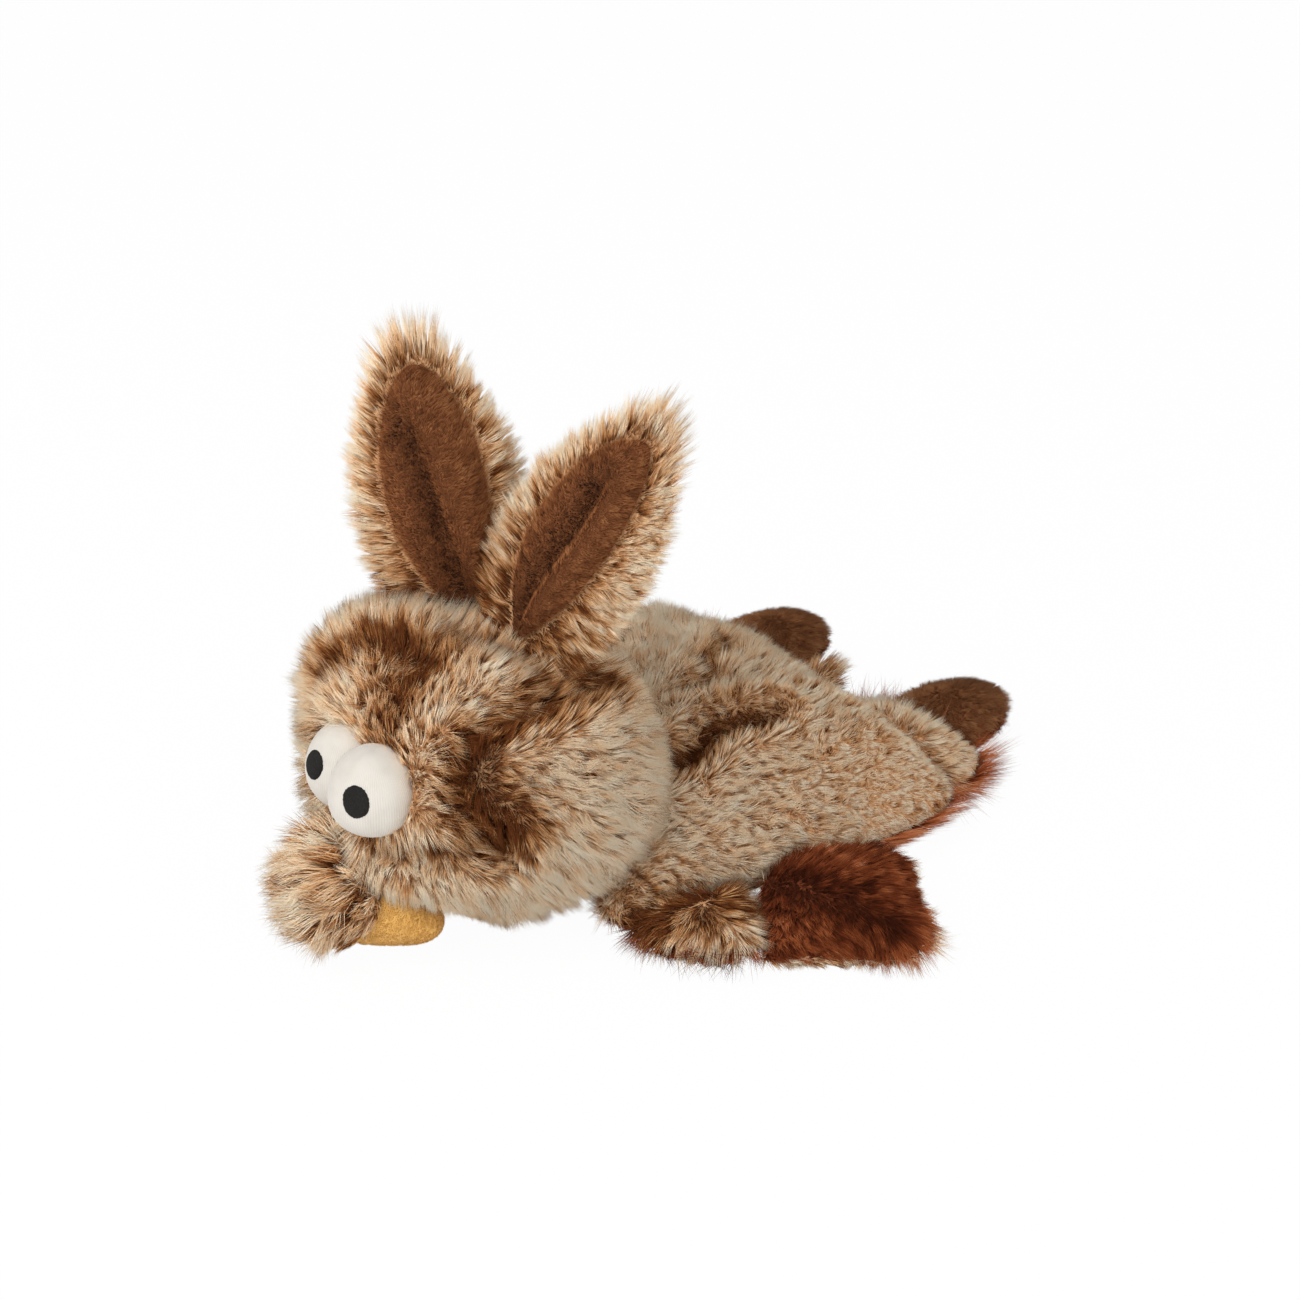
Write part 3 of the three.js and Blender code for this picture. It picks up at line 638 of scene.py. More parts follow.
head_coat = 1 - 0.95 * near_piece(head_points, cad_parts["chin"], 0.024)
for node_name in ("left_eye", "right_eye", "chin", "muzzle"):
    head_coat *= 1 - near_piece(head_points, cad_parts[node_name], 0.0008)
head_coat *= np.clip(head_points[:, 2] / 0.012, 0.35, 1)
head_side = (head_points - face_point) @ across_face
on_left = head_side > left_seam
on_right = head_side <= right_seam
above = head_points[:, 2] > jowl_height
head_regions = {
    "left_cheek_pile": on_left & above,
    "left_jowl_pile": on_left & ~above,
    "crown_pile": ~on_left & ~on_right,
    "right_cheek_pile": on_right,
}
for index, (pile_name, region) in enumerate(head_regions.items()):
    piece = grow_pile(
        pile_name, head_skin, head_coat * region, mottled_pile, seed=10 + index,
        hairs_per_square_centimetre=244.0, length=0.0100, rise=0.80, tousle=0.85,
        lock_spacing=0.0032, lock_strength=0.70, mottle=0.5, flecks=0.54, uneven_length=0.4,
    )
    dress(piece, "head")
dress(head_skin, "head", brown_knit, stands_for=head_panels)


# Filling of the head. Loose white polyester fibre, pushed in round the squeaker through the last
# gap in the seams, until the head is firm.
def fibre_filling(name, node_name, body, gap, seed):
    """A mass of fibre with a lumpy surface, a gap inside the skin all round."""
    mass = one_skin(name, (node_name,), 0.005)
    points = points_of(mass.data)
    inset = gap - 0.0015 * lumps(points, 0.012, seed)
    place_points(mass.data, points - normals_of(mass.data) * inset[:, None])
    dress(mass, body, white_fibre, stands_for=(node_name,))


white_fibre = knit_material("white_fibre", (0.88, 0.87, 0.84), (0.70, 0.69, 0.66), 300.0)
fibre_filling("head_fibre", "head_filling", "head", 0.009, 5)


# Muzzle. A small ball of the same plush stuffed and sewn under the eyes, its long pile standing
# out in points toward the front and down.
muzzle_middle = np.array([-0.0122, -0.1491, 0.030])
muzzle_skin = one_skin("muzzle_skin", ("muzzle",), 0.003)
stuff(muzzle_skin, pressure=4.0, reach=0.002, floor=0.003)
muzzle_points = points_of(muzzle_skin.data)
muzzle_comb = unit(muzzle_points - muzzle_middle) * 0.6 + np.array([-0.65, -0.35, -0.35])
by_chin = near_piece(muzzle_points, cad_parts["chin"], 0.022)
chin_middle = np.array([-0.0072, -0.1346, 0.0164])
muzzle_comb += unit(muzzle_points - chin_middle) * (1.2 * by_chin)[:, None]
# Near the chin the tips are darkened as painted shade under the muzzle.
muzzle_shade = 0.50 - 0.20 * by_chin + 0.14 * lumps(muzzle_points, 0.012, 8)
lay_pile(muzzle_skin, muzzle_comb, muzzle_shade)
muzzle_coat = 1 - by_chin
muzzle_coat *= 1 - near_piece(muzzle_points, head_skin, 0.0005)
muzzle_pile = grow_pile(
    "muzzle_pile", muzzle_skin, muzzle_coat, mottled_pile, seed=20,
    hairs_per_square_centimetre=215.0, length=0.0148, rise=0.66, tousle=0.7,
    lock_spacing=0.0044, lock_strength=0.92, mottle=0.7, flecks=0.48, uneven_length=0.45,
    segments=2,
)
dress(muzzle_pile, "head")
dress(muzzle_skin, "head", brown_knit, stands_for=("muzzle",))


# Chin. A stuffed pad of mustard jersey, its fine knit brushed soft. It is sewn on under the
# muzzle and carries the front of the head on the ground.
def jersey_material(name, light, dark, rib_map=None, ribs=1.0):
    """Fine single jersey: rows of small loops, a little uneven in tone."""
    material, shader, node = bare_material(name, roughness=0.85)
    if rib_map:
        spot = node('ShaderNodeUVMap', uv_map=rib_map).outputs['UV']
        bands = node('ShaderNodeTexWave', {'Vector': spot, 'Scale': ribs, 'Distortion': 0.6})
        height = bands.outputs['Fac']
    else:
        spot = node('ShaderNodeTexCoord').outputs['Object']
        height = node('ShaderNodeTexNoise', {
            'Vector': spot, 'Scale': 1600.0, 'Detail': 2.0,
        }).outputs['Fac']
    place = node('ShaderNodeTexCoord').outputs['Object']
    patches = node('ShaderNodeTexNoise', {'Vector': place, 'Scale': 120.0, 'Detail': 5.0})
    tone = node('ShaderNodeMath', {0: height, 1: 0.25, 2: patches.outputs['Fac']},
                operation='MULTIPLY_ADD')
    ramp = node('ShaderNodeValToRGB', {'Fac': tone.outputs[0]})
    set_ramp(ramp, [(0.3, dark), (0.75, light)])
    bump = node('ShaderNodeBump', {'Height': height, 'Distance': 0.00015, 'Strength': 0.5})
    paint(material, shader, ramp, bump)
    shader.inputs['Sheen Weight'].default_value = 0.3
    return material


mustard_jersey = jersey_material("mustard_jersey", (0.86, 0.51, 0.15), (0.70, 0.38, 0.095))
mustard_tips = [(0.0, (0.66, 0.34, 0.075)), (0.5, (0.88, 0.53, 0.15)), (1.0, (0.96, 0.68, 0.27))]
mustard_nap = pile_material("mustard_nap", mustard_tips, root_fade=0.3)
chin_swells = [
    ((0.0080, -0.1460, 0.0270), (0.0010, -0.0065, 0.0140), 0.013),
    ((-0.0010, -0.1500, 0.0130), (-0.0030, -0.0095, 0.0010), 0.012),
]
chin_pad = one_skin("chin_pad", ("chin",), 0.0022, smoothing=5)
stuff(chin_pad, pressure=3.0, reach=0.001, floor=0.0003)
chin_points = points_of(chin_pad.data)
for middle, push, width in chin_swells:
    chin_points = chin_points + np.outer(near_place(chin_points, middle, width), push)
place_points(chin_pad.data, chin_points)
lay_pile(chin_pad, (0.3, -0.6, -0.6), 0.5)
chin_nap = grow_pile(
    "chin_nap", chin_pad, np.full(len(chin_points), 1.0), mustard_nap, seed=25,
    hairs_per_square_centimetre=300.0, length=0.0014, rise=0.45, tousle=1.0,
    lock_spacing=0.0020, lock_strength=0.3, mottle=0.5, flecks=0.0, hair_width=0.00022,
)
dress(chin_nap, "head")
dress(chin_pad, "head", mustard_jersey, stands_for=("chin",))


# Eyes. Two balls of off-white jersey stuffed hard and sewn side by side, a little fuller above
# than below, each with a near-black round patch of cloth, cut by hand and a little ragged.
eye_radius = 0.0175
eye_middles = {
    "left": np.array([0.0048, -0.14924, 0.07727]),
    "right": np.array([-0.0188, -0.14039, 0.07682]),
}
eye_looks = {
    "left": Vector((0.3918, -0.8403, 0.3300)),
    "right": Vector((-0.1610, -0.9131, 0.3400)),
}
eye_fullness = {"left": (1.24, 0.82), "right": (1.15, 0.96)}
pupil_radius = 0.0058
pupil_thickness = 0.0008
ribs_round = 105


def swollen(points, side):
    """Points round a ball's middle, stretched above it and drawn in below it."""
    above, below = eye_fullness[side]
    share = np.where(points[:, 2:] > 0, above, below)
    return points * np.concatenate([np.ones_like(points[:, :2]), share], axis=1)


def clear_of_left_eye(points):
    """Presses points flat where they would lie in the left ball."""
    offset = points - eye_middles["left"]
    above, below = eye_fullness["left"]
    share = np.where(offset[:, 2:] > 0, above, below)
    ball = offset / np.concatenate([np.ones_like(offset[:, :2]), share], axis=1)
    distance = np.linalg.norm(ball, axis=1, keepdims=True)
    clear = eye_radius + 0.0002
    pushed = eye_middles["left"] + swollen(unit(ball) * clear, "left")
    return np.where(distance < clear, pushed, points)


def eye_ball(side):
    """A ball with ribs that run from its top to its bottom."""
    form = bmesh.new()
    bmesh.ops.create_uvsphere(form, u_segments=64, v_segments=40, radius=eye_radius)
    ball = piece_from(form, f"{side}_eye_ball")
    points = points_of(ball.data)
    turn = np.arctan2(points[:, 1], points[:, 0]) / (2 * math.pi)
    rib_places = np.stack([turn, points[:, 2] / eye_radius], axis=1)
    points = swollen(points, side) + eye_middles[side]
    place_points(ball.data, clear_of_left_eye(points) if side == "right" else points)
    ribs = ball.data.uv_layers.new(name="ribs")
    for loop in ball.data.loops:
        ribs.data[loop.index].uv = rib_places[loop.vertex_index]
    return ball


def pupil_patch(side):
    """A round patch a little proud of the ball, its edge cut unevenly."""
    turn = Vector((0, 0, 1)).rotation_difference(eye_looks[side])
    rings, sides = 6, 72
    outer = eye_radius + pupil_thickness
    inner = eye_radius - 0.0006
    form = bmesh.new()

    def ring_of(radius, share):
        ring = []
        for step in range(sides):
            angle = 2 * math.pi * step / sides
            edge = noise.noise(Vector((math.cos(angle) * 9, math.sin(angle) * 9, len(side))))
            spread = (pupil_radius * (1 + 0.055 * edge) / eye_radius) * share
            spread *= 1 - 0.10 * abs(math.sin(angle))
            point = Vector((
                math.sin(spread) * math.cos(angle), math.sin(spread) * math.sin(angle),
                math.cos(spread),
            ))
            ring.append(form.verts.new(turn @ (point * radius)))
        return ring

    loops = [ring_of(outer - pupil_thickness * 0.8 * (step / rings) ** 6, step / rings)
             for step in range(1, rings + 1)]
    loops.append(ring_of(inner, 1.0))
    top = form.verts.new(turn @ Vector((0, 0, outer)))
    under = form.verts.new(turn @ Vector((0, 0, inner)))
    for step in range(sides):
        after = (step + 1) % sides
        form.faces.new((top, loops[0][step], loops[0][after]))
        for near, far in zip(loops[:-1], loops[1:]):
            form.faces.new((near[step], far[step], far[after], near[after]))
        form.faces.new((loops[-1][step], under, loops[-1][after]))
    bmesh.ops.recalc_face_normals(form, faces=form.faces)
    patch = piece_from(form, f"{side}_pupil_patch")
    place_points(patch.data, swollen(points_of(patch.data), side) + eye_middles[side])
    return patch


white_jersey = jersey_material(
    "white_jersey", (0.68, 0.64, 0.58), (0.58, 0.54, 0.48), rib_map="ribs",
    ribs=ribs_round * math.pi / 10,
)
pupil_cloth = knit_material("pupil_cloth", (0.022, 0.020, 0.019), (0.008, 0.0075, 0.007), 2500.0)
for side in eye_middles:
    dress(eye_ball(side), "head", white_jersey,
          stands_for=(f"{side}_eye",))
    dress(pupil_patch(side), "head", pupil_cloth, stands_for=(f"{side}_pupil",))


# Ears. Each is a leaf of mottled plush with a leaf of short velvety pile sewn on its front,
# which is drawn into two rolls by a deep fold. The plush stands out as a fringe all round it.
ear_ways = {"left": Vector((50, 32, 101)), "right": Vector((-29, -1, 114))}
ear_facings = {"left": Vector((0.3, -0.82, 0.48)), "right": Vector((0.62, -0.62, 0.48))}
ear_roots = {
    "left": Vector((0.00859, -0.07857, 0.11856)),
    "right": Vector((-0.01932, -0.07842, 0.11742)),
}
ear_length = 0.115
lining_outline = [
    (0.001, 0.0006), (0.012, 0.0070), (0.025, 0.0140), (0.040, 0.0190), (0.055, 0.0205),
    (0.070, 0.0198), (0.082, 0.0172), (0.092, 0.0130), (0.099, 0.0088), (0.1035, 0.0050),
    (0.1055, 0.0006),
]
lining_sides = {"left": (1.0, 0.66), "right": (1.0, 0.95)}
lining_folds = {
    "left": [(0.0, -0.0010), (0.030, -0.0035), (0.060, -0.0020), (0.085, -0.0030)],
    "right": [(0.0, 0.0030), (0.030, 0.0005), (0.060, -0.0030), (0.085, -0.0060)],
}
lining_roll = 0.0082
lining_edge = 0.0007
lining_gap = 0.0002
fold_end = 0.096
fold_slopes = (0.0095, 0.0032)
# How far the painted shade in the fold reaches on its two sides.
fold_shade_slopes = (0.0075, 0.0026)


def fine_form(name, nodes, longest):
    """A copy of some solids whose long edges are cut until none is longer than a length."""
    piece = sewn_form(name, nodes)
    form = bmesh.new()
    form.from_mesh(piece.data)
    for _ in range(5):
        long_edges = [edge for edge in form.edges if edge.calc_length() > longest]
        if not long_edges:
            break
        bmesh.ops.subdivide_edges(form, edges=long_edges, cuts=1)
        bmesh.ops.triangulate(form, faces=[face for face in form.faces if len(face.verts) > 3])
    form.to_mesh(piece.data)
    form.free()
    return piece


def ear_lining(side, root, across, along, facing):
    """The velvety leaf: a thin edge, two rolls and the fold between them, closed at the back."""
    tree = surface_of(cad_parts[f"{side}_ear_back"].data)
    rows, columns = 64, 33
    outline = np.array(lining_outline)
    fold_line = np.array(lining_folds[side])
    form = bmesh.new()
    front, rear = [], []
    for row in range(rows):
        height = outline[0, 0] + (outline[-1, 0] - outline[0, 0]) * row / (rows - 1)
        widest = np.interp(height, outline[:, 0], outline[:, 1])
        fold_place = np.interp(height, fold_line[:, 0], fold_line[:, 1])
        fold_depth = np.clip((fold_end - height) / 0.022, 0, 1)
        front_row, rear_row = [], []
        for column in range(columns):
            share = 2 * column / (columns - 1) - 1
            half = widest * lining_sides[side][share > 0]
            spot = root + along * height + across * (half * share)
            hit = tree.ray_cast(spot + facing * 0.03, -facing)[0]
            base = (hit - spot).dot(facing) if hit else 0.0
            apart = half * share - fold_place
            slope = fold_slopes[int(apart >= 0)]
            fold = fold_depth * math.exp(-abs(apart / slope) ** 1.8)
            body = (1 - abs(share) ** 2.4) * min(1, widest / 0.011)
            thick = lining_edge + lining_roll * body * (1 - fold)
            rear_row.append(form.verts.new(spot + facing * (base + lining_gap)))
            front_row.append(form.verts.new(spot + facing * (base + lining_gap + thick)))
        front.append(front_row)
        rear.append(rear_row)
    for row in range(rows - 1):
        for column in range(columns - 1):
            for sheet in (front, rear):
                form.faces.new((
                    sheet[row][column], sheet[row][column + 1],
                    sheet[row + 1][column + 1], sheet[row + 1][column],
                ))
        for column in (0, -1):
            form.faces.new((front[row][column], front[row + 1][column],
                            rear[row + 1][column], rear[row][column]))
    for row in (0, -1):
        for column in range(columns - 1):
            form.faces.new((front[row][column], front[row][column + 1],
                            rear[row][column + 1], rear[row][column]))
    bmesh.ops.recalc_face_normals(form, faces=form.faces)
    lining = piece_from(form, f"{side}_ear_velvet")
    round_off = lining.modifiers.new("round_off", 'SMOOTH')
    round_off.factor = 0.5
    round_off.iterations = 5
    settle_modifiers(lining)
    return lining


velvet_tips = [
    (0.0, (0.030, 0.010, 0.004)), (0.45, (0.31, 0.110, 0.039)), (0.8, (0.50, 0.21, 0.080)),
    (1.0, (0.62, 0.32, 0.15)),
]
velvet_pile = pile_material("velvet_pile", velvet_tips)
velvet_knit = knit_material("velvet_knit", light=(0.22, 0.078, 0.028), dark=(0.12, 0.040, 0.014))
for side, way in ear_ways.items():
    root = ear_roots[side]
    along = way.normalized()
    across = along.cross(ear_facings[side]).normalized()
    facing = across.cross(along)
    ear_axes = np.array([across, along, facing])

    lining = ear_lining(side, root, across, along, facing)
    lining_points = points_of(lining.data)
    local = (lining_points - np.array(root)) @ ear_axes.T
    fold_line = np.array(lining_folds[side])
    from_fold = local[:, 0] - np.interp(local[:, 1], fold_line[:, 0], fold_line[:, 1])
    # The tips in the fold are darkened as painted shade, over a broad band on the side that slopes
    # into it and a narrow one on the steep side.
    slope = np.where(from_fold < 0, *fold_shade_slopes)
    in_fold = fade(from_fold, slope) * np.clip((0.098 - local[:, 1]) / 0.02, 0, 1)
    lining_comb = np.outer(np.clip(from_fold / 0.008, -1, 1), across) + 0.9 * np.array(along)
    lining_comb *= (1 - 0.7 * in_fold)[:, None]
    front_share = (normals_of(lining.data) @ np.array(facing) > -0.2).astype(float)
    lay_pile(lining, lining_comb, 0.60 - 0.62 * in_fold)
    lining_nap = grow_pile(
        f"{side}_ear_nap", lining, front_share * (1 - 0.5 * in_fold), velvet_pile,
        seed=35 + len(side), hairs_per_square_centimetre=375.0, length=0.0028, rise=0.62,
        tousle=0.55, lock_spacing=0.0024, lock_strength=0.25, mottle=0.35, flecks=0.06,
        hair_width=0.00024,
    )
    dress(lining_nap, f"{side}_ear")
    dress(lining, f"{side}_ear", velvet_knit, stands_for=(f"{side}_ear_lining",))

    back = fine_form(f"{side}_ear_skin", (f"{side}_ear_back",), 0.004)
    back_points = points_of(back.data)
    local = (back_points - np.array(root)) @ ear_axes.T
    height = np.clip(local[:, 1] / ear_length, 0, 1)
    outward = np.clip(local[:, 0] / 0.012, -1, 1) * (1.25 - height)
    tipward = 0.35 + 1.5 * height ** 2
    back_comb = np.outer(outward * 1.7, across) + np.outer(tipward, along)
    near_root = np.clip(1 - local[:, 1] / 0.042, 0, 1)
    by_lining = near_piece(back_points, lining, 0.005)
    lay_pile(back, back_comb, 0.68 - 0.62 * near_root - 0.38 * by_lining)
    back_coat = np.where(near_piece(back_points, lining, 0.0008) > 0, 0.0, 1.0)
    back_coat *= 0.80 + 0.62 * np.clip((height - 0.82) / 0.12, 0, 1)
    back_coat *= np.clip((local[:, 1] + 0.004) / 0.010, 0, 1)
    ear_pile = grow_pile(
        f"{side}_ear_pile", back, back_coat, mottled_pile, seed=30 + len(side),
        hairs_per_square_centimetre=260.0, length=0.0104, rise=0.42, tousle=0.50,
        lock_spacing=0.0034, lock_strength=0.56, mottle=0.5, flecks=0.30, uneven_length=0.35,
    )
    dress(ear_pile, f"{side}_ear")
    dress(back, f"{side}_ear", brown_knit, stands_for=(f"{side}_ear_back",))


# Body. A flat bag of mottled plush above and russet plush below, sewn together round the rim
# and loosely filled, so that the back is drawn into slanting creases.
russet_tips = [
    (0.0, (0.070, 0.0140, 0.0045)),
    (0.3, (0.19, 0.040, 0.012)),
    (0.55, (0.36, 0.088, 0.028)),
    (0.8, (0.60, 0.18, 0.060)),
    (1.0, (0.78, 0.32, 0.15)),
]
russet_pile = pile_material("russet_pile", russet_tips, root_fade=0.3)
russet_knit = knit_material("russet_knit", light=(0.20, 0.050, 0.017), dark=(0.10, 0.024, 0.008))
body_panels = ("back_panel", "belly_panel")
waist = 0.010
back_creases = [
    ([(0.0369, -0.0285, 0.0506), (0.0396, -0.0141, 0.0503), (0.0347, 0.0042, 0.0514),
      (0.0426, 0.0294, 0.0504)], 0.0080, 0.012),
    ([(-0.0023, 0.0363, 0.0531), (-0.0037, 0.0508, 0.0526), (-0.0150, 0.0640, 0.0500)],
     0.0065, 0.008),
    ([(0.0127, 0.0075, 0.0542), (0.0091, 0.0287, 0.0531)], 0.0065, 0.008),
    ([(0.0453, 0.0195, 0.0495), (0.0384, 0.0368, 0.0512)], 0.0055, 0.006),
    ([(-0.0450, -0.0200, 0.0480), (-0.0380, 0.0100, 0.0510), (-0.0450, 0.0330, 0.0470)],
     0.007, 0.006),
]
body_skin = one_skin("body_skin", (*body_panels, "body_filling"), 0.004)
stuff(body_skin, pressure=4.0, reach=0.004, spare=0.05, floor=0.0015)
sink_folds(body_skin, back_creases)
swell_lumps(body_skin, 0.030, 0.0028, 2)


def inside_box(points, node_name, gap):
    """True for the points in a solid's box, or beside or above it by less than a gap."""
    low, high = (np.array(corner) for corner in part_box(node_name))
    beside = np.all((points[:, :2] > low[:2] - gap) & (points[:, :2] < high[:2] + gap), axis=1)
    return beside & (points[:, 2] > low[2]) & (points[:, 2] < high[2] + gap)


def keep_clear(skin, node_name, gap):
    """Moves a skin's points in a solid's box out past the nearest of its sides and its top."""
    points = points_of(skin.data)
    low, high = (np.array(corner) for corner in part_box(node_name))
    low, high = low - gap, high + gap
    for index in np.flatnonzero(inside_box(points, node_name, gap)):
        room = np.concatenate([points[index, :2] - low[:2], high - points[index]])
        way = int(np.argmin(room))
        if way < 2:
            points[index, way] = low[way]
        else:
            points[index, way - 2] = high[way - 2]
    place_points(skin.data, points)


def panel_reach(points, nodes):
    """How far each point is from the nearest of some panels."""
    best = np.full(len(points), 1e9)
    for name in nodes:
        tree = surface_of(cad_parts[name].data)
        best = np.minimum(best, [tree.find_nearest(Vector(point))[3] for point in points])
    return best


def line_russet(skin, russet):
    """Gives the faces of a skin that lie among its russet points the russet knit."""
    skin.data.materials.append(russet_knit)
    for polygon in skin.data.polygons:
        if sum(russet[index] for index in polygon.vertices) > 0.5 * len(polygon.vertices):
            polygon.material_index = 1


def russet_share(points, plush_nodes, russet_nodes):
    """1 where the nearest of the frame's panels is a russet one, and 0 elsewhere."""
    return (panel_reach(points, russet_nodes) < panel_reach(points, plush_nodes)).astype(float)


keep_clear(body_skin, "treat_pouch", 0.0012)
body_points = points_of(body_skin.data)
body_outward = normals_of(body_skin.data) * (1, 1, 0)
body_russet = russet_share(body_points, ("back_panel",), ("belly_panel",))
rim_share = np.clip(np.linalg.norm(body_outward, axis=1) * 1.4, 0, 1)
rear_flank = np.clip((body_points[:, 1] - waist) / 0.030, 0, 1) * (body_points[:, 0] > 0.02)
body_comb = np.zeros_like(body_points)
body_comb[:, 1] = 0.45
body_comb[:, 0] = 0.4 * np.clip(body_points[:, 0] / 0.05, -1.5, 1.5)
body_comb[:, 2] = -0.3
body_comb += unit(body_outward) * (1.5 * rim_share * body_russet)[:, None]
body_shade = 0.74 + 0.10 * body_russet
# Along the creases the tips are darkened as painted shade, the more the deeper the crease, and the
# pile is combed a little apart.
part_and_shade_pile(body_points, body_comb, body_shade, [
    (crease, 0.35, 1.25 * width, 0.80 * depth / 0.010) for crease, width, depth in back_creases
])
under_cheek = np.array([0.0740, -0.0735, 0.0160])
body_shade -= 0.7 * near_place(body_points, under_cheek, 0.016)
lay_pile(body_skin, body_comb, body_shade)
body_coat = np.clip(body_points[:, 2] / 0.010, 0.4, 1)
body_coat *= 1 - 0.55 * rear_flank * rim_share * (1 - body_russet)
body_coat *= 1 + 0.75 * rear_flank * rim_share * body_russet
for side in ("left", "right"):
    by_leg = near_piece(body_points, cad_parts[f"{side}_leg_outer"], 0.016)
    body_coat *= 1 + 0.6 * by_leg * (1 - body_russet)
for crease, width, depth in back_creases:
    in_crease = fade(from_path(body_points, crease)[1], width)
    body_coat *= 1 - 0.5 * in_crease * depth / 0.012
body_coat *= ~inside_box(body_points, "treat_pouch", 0.003)
body_coat *= 1 - near_piece(body_points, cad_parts["pocket_flap"], 0.001)
front_half = body_points[:, 1] < waist
body_regions = {
    "shoulder_pile": (front_half & (body_russet < 0.5), mottled_pile, "plush"),
    "rump_pile": (~front_half & (body_russet < 0.5), mottled_pile, "plush"),
    "belly_pile": (body_russet > 0.5, russet_pile, "russet_plush"),
}
body_plush = dict(
    hairs_per_square_centimetre=220.0, length=0.0084, rise=0.82, tousle=0.95, flecks=0.50,
)
body_russet_pile = dict(
    hairs_per_square_centimetre=125.0, length=0.0100, rise=0.45, tousle=0.60, flecks=0.0,
)
for index, (pile_name, (region, material, slot)) in enumerate(body_regions.items()):
    hairs = body_plush if slot == "plush" else body_russet_pile
    piece = grow_pile(
        pile_name, body_skin, body_coat * region, material, seed=40 + index,
        lock_spacing=0.0034, lock_strength=0.62, mottle=0.5, uneven_length=0.35, **hairs,
    )
    dress(piece, "torso")
dress(body_skin, "torso", brown_knit, stands_for=body_panels)
line_russet(body_skin, body_russet)
fibre_filling("body_fibre", "body_filling", "torso", 0.007, 6)


# Arms and hands. Each is two panels sewn round a curve, plush outside and russet inside, and
# flat stuffed. The left hand is twisted at the wrist, so that its russet side is on top.
def grow_limb(name, outer, inner, comb, shade, coat, seed, russet_hairs, plush_hairs,
              tuck=None):
    """One limb: its skin over both panels, and a pile of each colour on its own side.

    comb, shade and coat give the pile's values at the skin's points. A tuck is a corner, the way
    it is drawn in and how far round it that reaches.
    """
    skin = one_skin(f"{name}_skin", (outer, inner), 0.003)
    stuff(skin, pressure=4.0, reach=0.002, floor=0.0012)
    points = points_of(skin.data)
    if tuck:
        corner, pull, reach = tuck
        points = points + np.outer(near_place(points, corner, reach), pull)
        place_points(skin.data, points)
    level = normals_of(skin.data) * (1, 1, 0)
    rim = np.clip(np.linalg.norm(level, axis=1) * 1.4, 0, 1)
    russet = russet_share(points, (outer,), (inner,))
    low = np.clip(points[:, 2] / 0.008, 0.45, 1)
    for kind, region, material, slot, hairs in (
        ("plush", russet < 0.5, mottled_pile, "plush", plush_hairs),
        ("russet", russet > 0.5, russet_pile, "russet_plush", russet_hairs),
    ):
        rim_comb = unit(level) * (0.8 * rim)[:, None]
        lay_pile(skin, comb(points) + rim_comb, shade(points, kind))
        thickness = low * region * coat(points, kind, rim)
        piece = grow_pile(
            f"{name}_{kind}_pile", skin, thickness, material, seed=seed, **hairs,
        )
        dress(piece, name)
    dress(skin, name, brown_knit, stands_for=(outer, inner))
    line_russet(skin, russet)


arm_dimple = [
    (0.0661, -0.0532, 0.0220), (0.0760, -0.0470, 0.0210), (0.0880, -0.0440, 0.0221),
    (0.0899, -0.0560, 0.0233),
]
hand_crease = [
    (0.0936, -0.0221, 0.0227), (0.1079, -0.0201, 0.0236), (0.1271, -0.0121, 0.0218),
    (0.1420, -0.0060, 0.0170),
]
hand_end = np.array([0.1540, -0.0030, 0.0120])
hand_corner = np.array([0.1420, 0.0260, 0.0170])
hand_pull = np.array([-0.006, -0.006, 0.0])
limb_plush = dict(
    hairs_per_square_centimetre=220.0, length=0.0105, rise=0.55, tousle=0.6,
    lock_spacing=0.0036, lock_strength=0.66, mottle=0.6, flecks=0.38, uneven_length=0.35,
)
limb_russet = dict(
    hairs_per_square_centimetre=210.0, length=0.0095, rise=0.42, tousle=0.5,
    lock_spacing=0.0036, lock_strength=0.50, mottle=0.5, flecks=0.0, uneven_length=0.35,
)
hand_russet = dict(limb_russet, length=0.0066, rise=0.52, lock_spacing=0.0028,
                   lock_strength=0.40, hairs_per_square_centimetre=260.0)
hand_plush = dict(limb_plush, length=0.0085)
hand_ways = {"left": (0.50, 0.45, -0.15), "right": (-0.48, 0.46, -0.15)}
